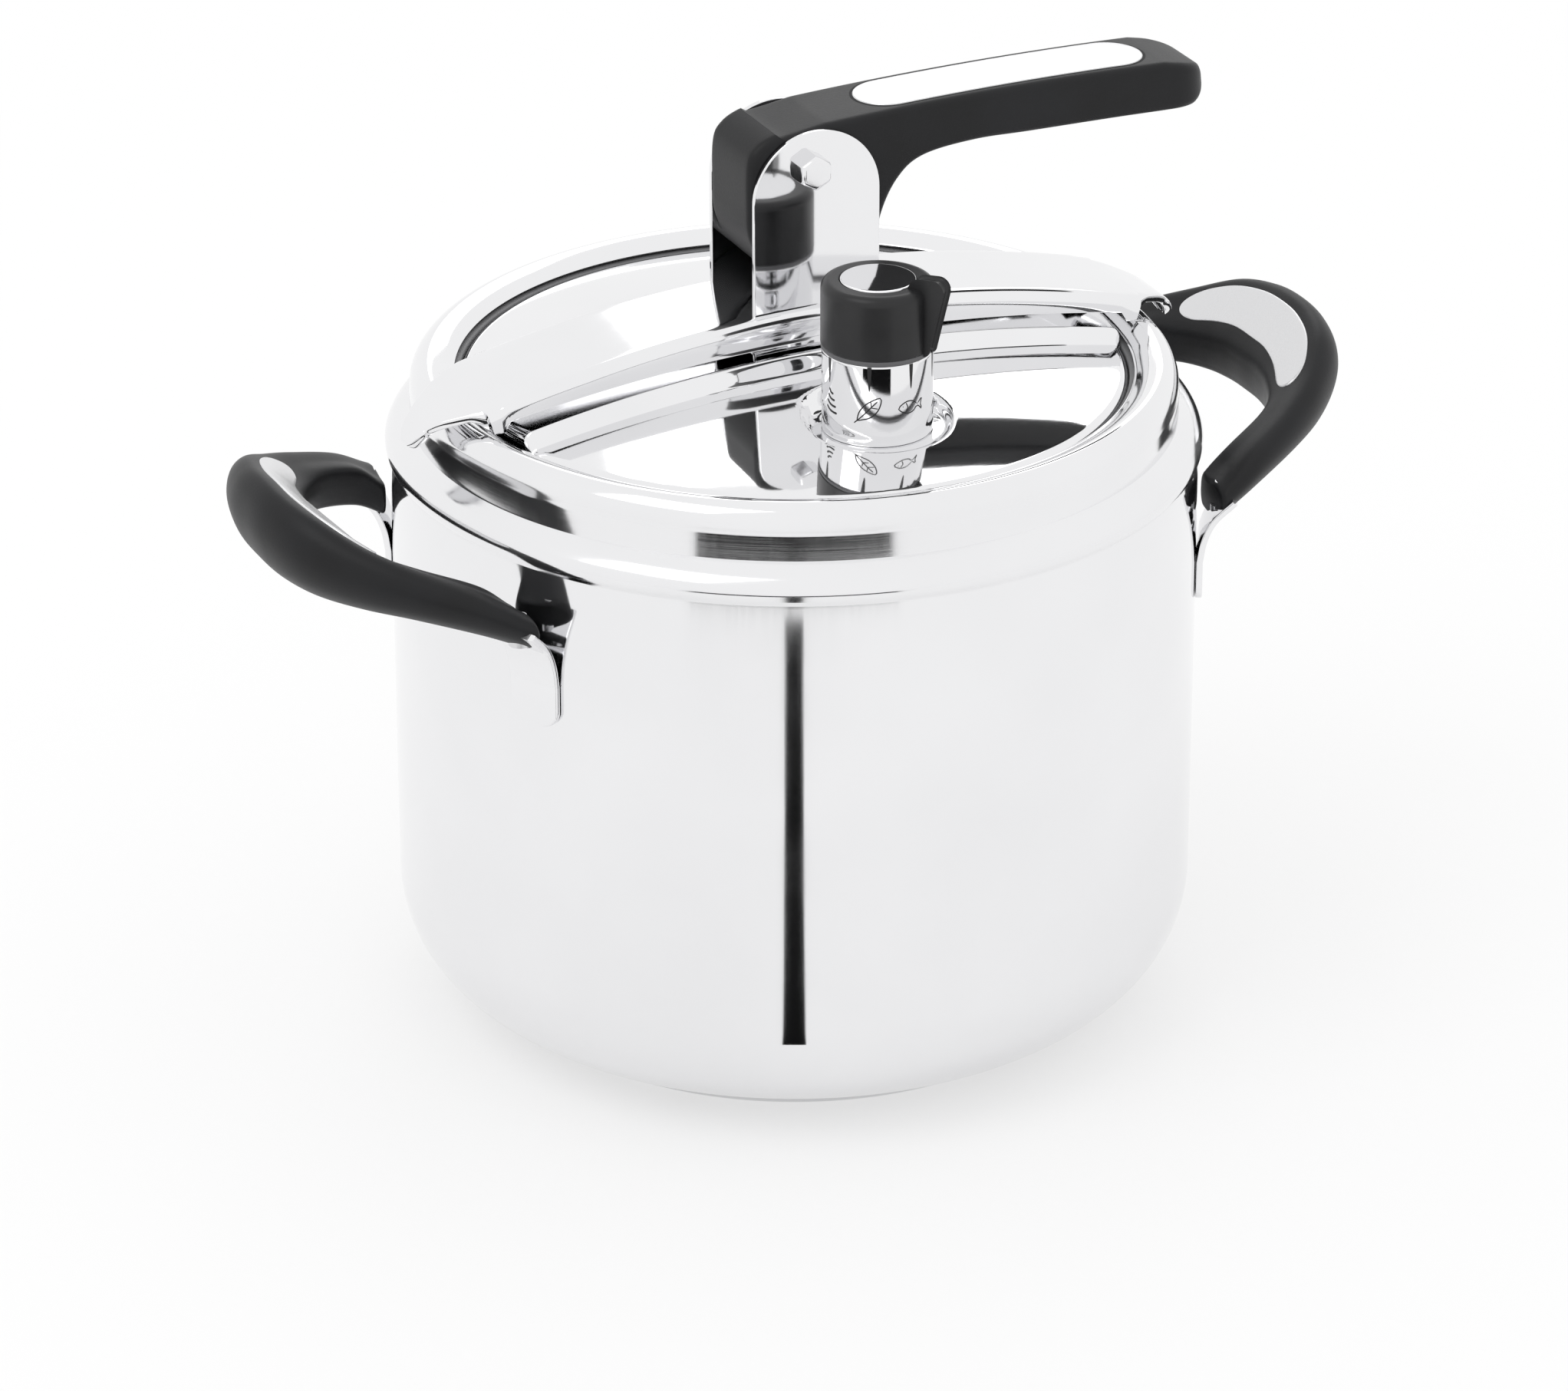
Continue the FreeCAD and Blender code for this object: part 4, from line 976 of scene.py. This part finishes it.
def stadium(x0, x1, half, steps=36):
    """Two half circles joined by straight runs."""
    t = np.linspace(-math.pi / 2, math.pi / 2, steps)
    right = np.stack([x1 - half + half * np.cos(t), half * np.sin(t)], 1)
    left = np.stack([x0 + half - half * np.cos(t), -half * np.sin(t)], 1)
    run = np.linspace(x1 - half, x0 + half, 40)[1:-1]
    return np.concatenate([right, np.stack([run, np.full(38, half)], 1),
                           left, np.stack([run[::-1], np.full(38, -half)], 1)])


def on_lever(flat, height):
    return np.column_stack([flat, lever_top(flat[:, 0]) + height])


def inlay_face(outline, centre_line, place, rim, rise, radius=0.35, rings=12):
    """Closed plate: a rounded rim and a face that rises to the middle line as 1 - s^2."""
    layers = []
    for k in range(5):
        t = math.pi / 2 * k / 4
        layers.append((outline + (centre_line - outline)
                       * (radius * (1 - math.sin(t)) / np.linalg.norm(
                           centre_line - outline, axis=1, keepdims=True)),
                       rim - radius * math.cos(t) + 0.0))
    layers = [(ring, rim - radius + radius * math.sin(math.pi / 2 * k / 4))
              for k, (ring, _) in enumerate([(outline + (centre_line - outline) * (
                  radius * (1 - math.cos(math.pi / 2 * j / 4)) / np.linalg.norm(
                      centre_line - outline, axis=1, keepdims=True)), 0) for j in range(5)])]
    for s in np.linspace(0.94, 0.0, rings):
        ring = centre_line + (outline - centre_line) * s
        layers.append((ring, rim + rise * (1 - s * s)))
    low = [(outline + (centre_line - outline) * 0.02, rim - 1.1), (outline, rim - 0.9)]
    return capped(np.stack([place(ring, h) for ring, h in low + layers]))


inlay_outline = stadium(INLAY_LOW[0], INLAY_HIGH[0], INLAY_HALF)
inlay_middle = np.column_stack([np.clip(inlay_outline[:, 0], INLAY_LOW[0] + INLAY_HALF,
                                        INLAY_HIGH[0] - INLAY_HALF), np.zeros(len(inlay_outline))])
piece("lever_plate", [inlay_face(inlay_outline, inlay_middle, on_lever, 0.28, 0.22)], "lever",
      "inlay_steel", INLAY_STEEL, ["lever_inlay"])
groove = stadium(INLAY_LOW[0] - 0.75, INLAY_HIGH[0] + 0.75, INLAY_HALF + 0.75)
groove_in = np.column_stack([np.clip(groove[:, 0], INLAY_LOW[0] + INLAY_HALF,
                                     INLAY_HIGH[0] - INLAY_HALF), np.zeros(len(groove))])
# Painted shade: a near-black, dull ring laid round the inlay stands in for the shade in the fine groove round
# its rim.
GROOVE_SHADE_BLACK = plain_grey("groove_shade_black", (0.006, 0.006, 0.007), 0.75)
rings = [on_lever(groove, -0.5), on_lever(groove, 0.03)]
rings += [on_lever(groove_in + (groove - groove_in) * s, 0.05) for s in (0.97, 0.9, 0.5, 0.0)]
piece("lever_groove_shade", [capped(np.stack(rings))], "lever", "black_handle", GROOVE_SHADE_BLACK)

# %% [markdown]
# ## The pressure valve and its knob
#
# The valve body is turned from bar.  On its shoulder runs a thin grey ring, then the black
# knob with a polished disc in its top and a fin that points at the marks on the lid.

# %% Valve body, ring, cap and disc
SHOULDER_Z = CAP_LOW[2] - 0.05
CAP_TOP = 0.0 + SHOULDER_Z + 19.0
CAP_R = 15.15


def at_valve(profile, around=160):
    return grid(turned(profile, (0.0, VALVE_Y), around), wrap_rows=True, wrap_columns=True)


stem_low = VALVE_LOW[2]
body_profile = rounded(
    [(0, stem_low), (5.5, stem_low), (5.5, DIMPLE_Z), (VALVE_R, DIMPLE_Z), (VALVE_R, SHOULDER_Z),
     (12.0, SHOULDER_Z), (12.0, SHOULDER_Z + 6), (8.0, SHOULDER_Z + 6), (8.0, SHOULDER_Z + 1.0),
     (0, SHOULDER_Z + 1.0)],
    [0, 0.4, 0, 0.5, 0.5, 0, 0.3, 0.2, 0, 0], steps=5)
piece("valve_barrel", [at_valve(body_profile)], "lid", "valve_steel", VALVE_STEEL, ["valve_body"])

ring_profile = rounded([(13.4, SHOULDER_Z + 0.05), (15.05, SHOULDER_Z + 0.05),
                        (15.05, SHOULDER_Z + 1.35), (13.4, SHOULDER_Z + 1.35)],
                       [0.15, 0.35, 0.35, 0.15], steps=4)
piece("knob_ring", [at_valve(ring_profile)], "knob", "ring_grey", RING_GREY, ["cap_ring"])

cap_low = SHOULDER_Z + 1.4
cap_profile = rounded(
    [(12.05, cap_low), (CAP_R, cap_low), (CAP_R, CAP_TOP), (10.25, CAP_TOP),
     (10.25, CAP_TOP - 1.0), (0, CAP_TOP - 1.0), (0, SHOULDER_Z + 10.0),
     (8.0, SHOULDER_Z + 10.0), (8.0, SHOULDER_Z + 6.05), (12.05, SHOULDER_Z + 6.05)],
    [0.1, 0.3, 2.6, 0.3, 0.1, 0, 0, 0.3, 0.3, 0.1], steps=8)
disc_profile = rounded([(0, CAP_TOP - 0.98), (10.1, CAP_TOP - 0.98), (10.1, CAP_TOP + 0.3),
                        (0, CAP_TOP + 0.34)], [0, 0.1, 0.45, 0], steps=6)
piece("knob_disc", [at_valve(disc_profile)], "knob", "valve_steel", VALVE_STEEL, ["cap_disc"])


def fin_mesh():
    """Upright fin: an outline in the plane of its radius, stacked across its thickness."""
    outline = rounded([(CAP_R - 2.0, cap_low + 0.1), (CAP_R + 0.4, cap_low + 0.1),
                       (20.4, CAP_TOP + 2.7), (12.2, CAP_TOP + 1.9), (10.9, CAP_TOP - 0.3),
                       (CAP_R - 3.2, CAP_TOP - 3.0)],
                      [0.2, 1.0, 2.2, 1.8, 0.6, 0.5], steps=8)[::-1]
    turn = math.radians(-55.0)
    radial, across_it = np.array([math.cos(turn), math.sin(turn)]), np.array([-math.sin(turn), math.cos(turn)])

    def place(flat, width):
        where = flat[:, :1] * radial + width * across_it
        return np.column_stack([where[:, 0], where[:, 1] + VALVE_Y, flat[:, 1]])
    layers = [(-1.0, -2.05), (-0.55, -1.95), (-0.22, -1.7), (-0.05, -1.4), (0, -1.1), (0, 1.1),
              (-0.05, 1.4), (-0.22, 1.7), (-0.55, 1.95), (-1.0, 2.05)]
    return capped(stacked(outline, layers, place))


piece("knob_cap", [at_valve(cap_profile), fin_mesh()], "knob", "cap_black", KNOB_BLACK,
      ["valve_cap"])

# %% [markdown]
# ### Marks on the valve
#
# Four tapered lines under the ring show where the knob's fin can point, with a plain sign
# under three of them: steam, leaf and fish.  Each stroke is a thin ribbon laid on the barrel,
# so it curves with the steel and turns with nothing but the lid.

# %% Ribbons on the barrel
MARK_BLACK = plain_grey("mark_black", (0.008, 0.008, 0.009), 0.45, 0.000002)


def ribbon(points, widths, angle, low, rise=0.03):
    """Flat strip along points (across, up) in millimetres, wrapped on the barrel at an angle.

    A distance s across becomes the angle s / radius, so nothing is stretched.
    """
    points = np.asarray(points, float)
    run = unit(np.gradient(points, axis=0))
    normal = np.stack([-run[:, 1], run[:, 0]], 1)
    half = np.asarray(widths, float)[:, None] / 2
    rings = []
    for side, lift in ((1, rise), (0.45, rise + 0.012), (-0.45, rise + 0.012), (-1, rise),
                       (-1, -0.02), (1, -0.02)):
        flat = points + normal * half * side
        t = math.radians(angle) + flat[:, 0] / VALVE_R
        radius = VALVE_R + lift
        rings.append(np.stack([radius * np.cos(t), VALVE_Y + radius * np.sin(t),
                               low + flat[:, 1]], 1))
    return capped(np.stack(rings, 1))


def stroke(points, width, angle, low):
    """Smooth stroke with rounded ends."""
    line = along(through(points, 10), 26)
    s = np.linspace(0, 1, 26)
    length = np.linalg.norm(np.diff(line, axis=0), axis=1).sum()
    tip = np.clip(np.minimum(s, 1 - s) * length / (width / 2), 0.02, 1)
    return ribbon(line, width * np.sqrt(1 - (1 - tip) ** 2), angle, low)


MARKS = (-173.5, -124.0, -79.2, -39.7)
strokes = []
for angle in MARKS:
    drop = np.linspace(0, 1, 24)
    line = np.stack([0 * drop, -0.2 - 7.0 * drop], 1)
    strokes.append(ribbon(line, 1.15 * (1 - 0.75 * drop ** 1.6) * np.sqrt(
        np.clip((1 - drop) / 0.08, 0.02, 1)), angle, SHOULDER_Z))

SIGN_Z = SHOULDER_Z - 12.3
for k, wide in enumerate((1.5, 2.4, 3.2, 3.8)):
    up = 2.9 - 1.75 * k
    steam = [(-wide * 0.55, up + 0.75), (-wide * 0.25, up - 0.1), (wide * 0.15, up - 0.5),
             (wide * 0.6, up - 0.55)]
    strokes.append(stroke(steam, 0.62, MARKS[0] + 3.0, SIGN_Z))

leaf = [(-3.4, -3.4), (-2.6, -0.6), (-0.4, 1.9), (3.0, 3.4), (2.6, 0.4), (0.6, -2.0),
        (-2.2, -3.0), (-3.4, -3.4)]
strokes.append(stroke(leaf, 0.34, MARKS[1], SIGN_Z))
strokes.append(stroke([(-4.2, -4.1), (-1.8, -1.8), (0.4, 0.6), (2.2, 2.5)], 0.34, MARKS[1], SIGN_Z))
for along_vein, reach in ((-0.9, 1.5), (0.6, 1.7)):
    strokes.append(stroke([(along_vein, along_vein), (along_vein - 0.2, along_vein + reach)],
                          0.28, MARKS[1], SIGN_Z))
    strokes.append(stroke([(along_vein, along_vein), (along_vein + reach, along_vein - 0.2)],
                          0.28, MARKS[1], SIGN_Z))

fish = [(2.2, 0.2), (0.6, 1.5), (-1.6, 1.6), (-3.7, 0.0), (-1.6, -1.6), (0.6, -1.5), (2.2, -0.2),
        (4.0, -1.7), (3.4, 0.0), (4.0, 1.7), (2.2, 0.2)]
strokes.append(stroke(fish, 0.34, MARKS[2], SIGN_Z))
strokes.append(stroke([(-1.5, 1.3), (-1.0, 0.0), (-1.5, -1.3)], 0.28, MARKS[2], SIGN_Z))
strokes.append(stroke([(-2.5, 0.35), (-2.3, 0.4)], 0.42, MARKS[2], SIGN_Z))
piece("valve_marks", strokes, "lid", "cap_black", MARK_BLACK)

# %% [markdown]
# ## The side handles
#
# Each handle is a loop of the same black plastic.  It springs from two legs by the wall,
# swells into a broad grip, and its top slopes towards the pot, with a kidney-shaped steel
# plate let into the slope.  The loop is described by seven stations from a leg to the middle
# of the grip; a smooth curve through all their numbers gives every section between them.

# %% Stations of the loop
HALF_SPAN, ANCHOR_X, GRIP_X = 50.0, 97.98, POT_R + 39.0
HANDLE_LOW = 151.5
HALF_LOOP = np.array([
    # x, y, heading, width, underside, outer top, inner top
    (ANCHOR_X + 5.0, 51.2, 6.0, 17.8, 141.7, 152.0, 150.7),
    (GRIP_X - 36.0, 48.8, -14.0, 14.5, 145.9, 158.5, 156.7),
    (GRIP_X - 21.0, 41.0, -33.0, 14.1, 149.9, 164.9, 160.9),
    (GRIP_X - 11.0, 32.2, -49.0, 16.7, 151.1, 169.9, 162.5),
    (GRIP_X - 3.8, 21.5, -66.0, 20.5, 151.5, 175.3, 164.6),
    (GRIP_X - 0.6, 10.5, -82.0, 21.8, 151.5, 177.7, 166.0),
    (GRIP_X, 0.0, -90.0, 22.0, 151.5, 178.5, 166.0)])
other_half = HALF_LOOP[:-1][::-1] * [1, -1, 1, 1, 1, 1, 1]
other_half[:, 2] = -180.0 - other_half[:, 2]
LOOP = through(np.vstack([HALF_LOOP, other_half]), 14)


def station_points(station, a, z):
    """Points at distance a across the loop's path (outwards) and at height z."""
    t = math.radians(station[2])
    return np.stack([station[0] - a * math.sin(t), station[1] + a * math.cos(t), z], -1)


SECTION_SPAN = 15


def handle_section(station):
    """Closed section (a, z): flat underside, full outer side, top sloping to the pot."""
    width, low, top, inner = station[3:]
    r, height = width / 2, top - low
    corners = [(-0.72 * r, low), (0.05 * r, low - 0.1), (0.72 * r, low + 0.24 * height),
               (r, low + 0.58 * height), (0.86 * r, low + 0.88 * height), (0.38 * r, top),
               (-0.28 * r, top - 0.45 * (top - inner)), (-0.88 * r, inner + 0.2),
               (-r, low + 0.6 * (inner - low)), (-0.94 * r, low + 0.2 * (inner - low))]
    return through(corners, SECTION_SPAN, closed=True)


# %% Slope of the grip
step_length = np.linalg.norm(np.diff(LOOP[:, :2], axis=0), axis=1)
LOOP_S = np.concatenate([[0], np.cumsum(step_length)])
LOOP_S -= LOOP_S[-1] / 2
PLATE_END = LOOP_S[-1 - 3 * 14] + 1.5
PLATE_HALF = 0.93


def slope_frame(station):
    """Middle of the slope and its two directions in the (a, z) plane."""
    r = station[3] / 2
    run, rise = 0.48 * r, 0.40 * (station[5] - station[6])
    length = math.hypot(run, rise)
    middle = np.array([-0.27 * r, (station[5] + station[6]) / 2])
    return middle, np.array([run, rise]) / length, np.array([-rise, run]) / length, length


def plate_half_width(s):
    """Half width of the plate: the slope's own, closed at both ends by half an ellipse."""
    length = np.array([slope_frame(station)[3] for station in LOOP])
    half = np.interp(s, LOOP_S, length) * PLATE_HALF
    into = np.clip((np.abs(s) - (PLATE_END - 9.0)) / 9.0, 0, 1)
    return half * np.sqrt(np.maximum(1 - into ** 2.4, 0.0))


def sunk(section, station, s):
    """Section with the seat of the plate: inside its outline the surface lies flat, a
    little below the plate's face."""
    middle, along_slope, out, _ = slope_frame(station)
    rest = section - middle
    q, h = rest @ along_slope, rest @ out
    half = float(plate_half_width(s)) + 0.75
    if half < 1.6:
        return section
    inside = (np.abs(q) < half) & (h > -3)
    h = np.where(inside, np.minimum(h, 0.45), h)
    return middle + q[:, None] * along_slope + h[:, None] * out


def handle_mesh(sign):
    """Sections along the loop; at both ends they shrink along a quarter circle."""
    rings = []
    for s, station in zip(LOOP_S, LOOP):
        section = sunk(handle_section(station), station, s)
        rings.append(station_points(station, section[:, 0], section[:, 1]))
    for end, step in ((0, 1), (-1, -1)):
        first, following = rings[end], rings[end + step]
        away = unit((first - following).mean(0))
        middle = first.mean(0)
        extra = []
        for t in np.linspace(0, math.pi / 2, 7)[1:]:
            share = 1 - (1 - math.cos(t)) * 0.22
            extra.append(middle + (first - middle) * share + away * 1.7 * math.sin(t))
        rings = extra[::-1] + rings if end == 0 else rings + extra
    return capped(np.stack(rings) * [sign, 1, 1])


def on_slope(sign):
    """Maps (s along the loop, q across the slope) and a height to a place in space."""
    def place(flat, height):
        out = []
        for s, q in flat:
            station = np.array([np.interp(s, LOOP_S, LOOP[:, k]) for k in range(LOOP.shape[1])])
            middle, along_slope, up, _ = slope_frame(station)
            a, z = middle + q * along_slope + height * up
            out.append(station_points(station, a, z))
        return np.array(out) * [sign, 1, 1]
    return place


# %% Both handles with their plates
s_line = np.concatenate([PLATE_END * np.sin(np.linspace(-math.pi / 2, math.pi / 2, 90))])
plate_outline = np.concatenate([np.stack([s_line, plate_half_width(s_line)], 1),
                                np.stack([s_line, -plate_half_width(s_line)], 1)[::-1][1:-1]])
plate_middle = np.column_stack([np.clip(plate_outline[:, 0] * 0.86, -PLATE_END, PLATE_END),
                                np.zeros(len(plate_outline))])
for name, sign in (("left", -1), ("right", 1)):
    piece(name + "_loop", [handle_mesh(sign)], "pot", "black_handle", HANDLE_BLACK,
          [name + "_handle"], crease=50)
    piece(name + "_plate", [inlay_face(plate_outline, plate_middle, on_slope(sign), 0.78, 0.28,
                                       rings=8)],
          "pot", "inlay_steel", INLAY_STEEL, [name + "_handle_inlay"])

# %% [markdown]
# ### Handle strips
#
# Two bent strips of steel carry each handle: flat on the wall below, then out and up into
# the leg.  The free lower end has rounded corners.

# %% Strips
TAB_ANGLE, TAB_HALF, TAB_SHEET = 27.036, 7.9, 1.8
BEND_LOW = HANDLE_LOW - 21.0
TAB_END = 118.5


def strip_mesh(angle):
    """Rounded flat section along the bent line, narrower near the end by a corner circle."""
    inner = np.concatenate([
        held((POT_R + 0.02, TAB_END), (POT_R + 0.02, BEND_LOW), 1.0)[:-1],
        through([(POT_R + 0.02, BEND_LOW), (POT_R + 1.2, BEND_LOW + 6.5),
                 (POT_R + 3.9, BEND_LOW + 12.4), (POT_R + 9.5, BEND_LOW + 18.2)], 12)])
    line = along(inner, 90)
    run = unit(np.gradient(line, axis=0))
    out = np.stack([run[:, 1], -run[:, 0]], 1)
    from_end = line[:, 1] - TAB_END
    turn = math.radians(angle)
    radial = np.array([math.cos(turn), math.sin(turn)])
    tangent = np.array([-math.sin(turn), math.cos(turn)])
    rings = []
    dense = np.linspace(0, 4.5, 10) ** 1.0
    for d in list(4.5 * (1 - np.cos(np.linspace(0.12, math.pi / 2, 10)))) + [None]:
        if d is None:
            break
        rings.append((np.array([line[0, 0], TAB_END + d]), out[0],
                      TAB_HALF - 4.5 + math.sqrt(max(4.5 ** 2 - (4.5 - d) ** 2, 0))))
    rings += [(p, o, TAB_HALF) for p, o, d in zip(line, out, from_end) if d > 4.8]
    mesh = []
    for point, normal, half in rings:
        section = rounded([(-half, 0), (half, 0), (half, TAB_SHEET), (-half, TAB_SHEET)],
                          [0.3, 0.3, 0.75, 0.75], steps=5)
        r = point[0] + section[:, 1] * normal[0]
        z = point[1] + section[:, 1] * normal[1]
        mesh.append(np.column_stack([r[:, None] * radial + section[:, :1] * tangent, z]))
    return capped(np.stack(mesh))


for name, base_angle in (("right", 0), ("left", 180)):
    for end, sign in (("front", -1), ("rear", 1)):
        angle = base_angle + sign * TAB_ANGLE * (1 if name == "right" else -1)
        piece(name + "_strip_" + end, [strip_mesh(angle)], "pot", "tab_steel", TAB_STEEL,
              [name + "_handle_tab_" + end])

# %% [markdown]
# ## The studio
#
# Polished steel has no look of its own: it shows the room.  The room here is white, with a
# pale floor and an even, white surrounding.  What gives the steel its shape are a few dark
# cards, as a photographer uses: only mirror-like reflections see them, so they neither cast
# a shadow nor darken the floor.

# %% Floor, surroundings and lamps
floor_finish = Graph("floor_white")
seen = floor_finish.node("ShaderNodeLightPath", out=0)
mirrored = floor_finish.node("ShaderNodeLightPath", out=3)
paint = floor_finish.node("ShaderNodeBsdfDiffuse", Color=(0.9, 0.9, 0.9, 1))
glow = floor_finish.node("ShaderNodeEmission", Color=(1, 1, 1, 1), Strength=1.0)
far = floor_finish.node("ShaderNodeVectorMath", {"operation": "LENGTH"}, out=1,
                        i0=floor_finish.place()).between(0.16, 0.75)
blend = floor_finish.node("ShaderNodeMixShader", i0=(seen + mirrored) * (0.55 + 0.45 * far),
                          i1=paint, i2=glow)
floor_finish.join(blend, floor_finish.tree.nodes["Material Output"].inputs["Surface"])


def stage_sheet(name, corners, finish):
    """A flat sheet of four corners, in metres, that is part of the studio."""
    mesh = bpy.data.meshes.new(name)
    mesh.from_pydata([tuple(c) for c in corners], [], [(0, 1, 2, 3)])
    sheet = bpy.data.objects.new(name, mesh)
    bpy.context.scene.collection.objects.link(sheet)
    sheet.data.materials.append(finish)
    sheet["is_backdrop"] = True
    return sheet


FLOOR_HALF = 8.0
stage_sheet("floor", [(-FLOOR_HALF, -FLOOR_HALF, 0), (FLOOR_HALF, -FLOOR_HALF, 0),
                      (FLOOR_HALF, FLOOR_HALF, 0), (-FLOOR_HALF, FLOOR_HALF, 0)],
            floor_finish.material)

world = bpy.data.worlds.new("white_room")
bpy.context.scene.world = world
world.use_nodes = True
world.node_tree.nodes["Background"].inputs["Color"].default_value = (1, 1, 1, 1)
world.node_tree.nodes["Background"].inputs["Strength"].default_value = 1.0


def softbox(name, place, aim, size, power):
    """Square area lamp at a place, facing a point."""
    lamp = bpy.data.lights.new(name, "AREA")
    lamp.size, lamp.energy = size, power
    box = bpy.data.objects.new(name, lamp)
    bpy.context.scene.collection.objects.link(box)
    box.location = place
    direction = mathutils.Vector(aim) - mathutils.Vector(place)
    box.rotation_euler = direction.to_track_quat("-Z", "Y").to_euler()
    return box


softbox("key", (-1.2, -0.4, 1.9), (0, 0, 0.15), 1.2, 6.0)
softbox("back", (0.9, 1.6, 1.4), (0, 0, 0.15), 1.0, 3.5)

# %% Dark cards
def card_grey(name, level):
    g = Graph(name)
    g.join(g.node("ShaderNodeEmission", Color=(level, level, level * 1.05, 1), Strength=1.0),
           g.tree.nodes["Material Output"].inputs["Surface"])
    return g.material


CARD_BLACK, CARD_GREY = card_grey("card_black", 0.006), card_grey("card_grey", 0.30)


def sector_card(name, r0, r1, a0, a1, finish, height=0.0006, steps=48):
    """Part of a flat ring round the cooker, from angle a0 to a1 (degrees), in millimetres."""
    t = np.radians(np.linspace(a0, a1, steps))
    ring = [np.stack([r * MM * np.cos(t), r * MM * np.sin(t), 0 * t + height], 1) for r in (r0, r1)]
    vertices, faces = grid(np.stack(ring, 1))
    mesh = bpy.data.meshes.new(name)
    mesh.from_pydata(vertices.tolist(), [], faces)
    card = bpy.data.objects.new(name, mesh)
    bpy.context.scene.collection.objects.link(card)
    card.data.materials.append(finish)
    card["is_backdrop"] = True
    card.visible_camera = card.visible_diffuse = card.visible_shadow = False
    return card


VIEW_ANGLE = -115.0
sector_card("card_strip", 150, 455, VIEW_ANGLE - 2.2, VIEW_ANGLE + 2.2, CARD_BLACK)
sector_card("card_arc", 470, 700, VIEW_ANGLE - 26, VIEW_ANGLE + 26, CARD_BLACK)

# %% [markdown]
# ## Camera
#
# A long lens from 1.9 m, a quarter above the table: far enough that the upright lines stay
# upright.

# %% Camera
eye, target = (-0.743, -1.593, 0.911), (0.0, 0.0, 0.095)
camera = bpy.data.objects.new("camera", bpy.data.cameras.new("camera"))
bpy.context.scene.collection.objects.link(camera)
camera.location = eye
camera.rotation_euler = (mathutils.Vector(target) - mathutils.Vector(eye)).to_track_quat(
    "-Z", "Y").to_euler()
camera.data.sensor_width, camera.data.lens = 36.0, 161.0
camera.data.shift_x, camera.data.shift_y = -0.0065, -0.0208
bpy.context.scene.camera = camera
bpy.context.scene.view_settings.view_transform = "Standard"

new_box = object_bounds()
sizes = {"cad": [list(corner) for corner in cad_box], "visual": [list(corner) for corner in new_box]}
for label, box in sizes.items():
    print(label, [round(v * 1000, 1) for corner in box for v in corner])
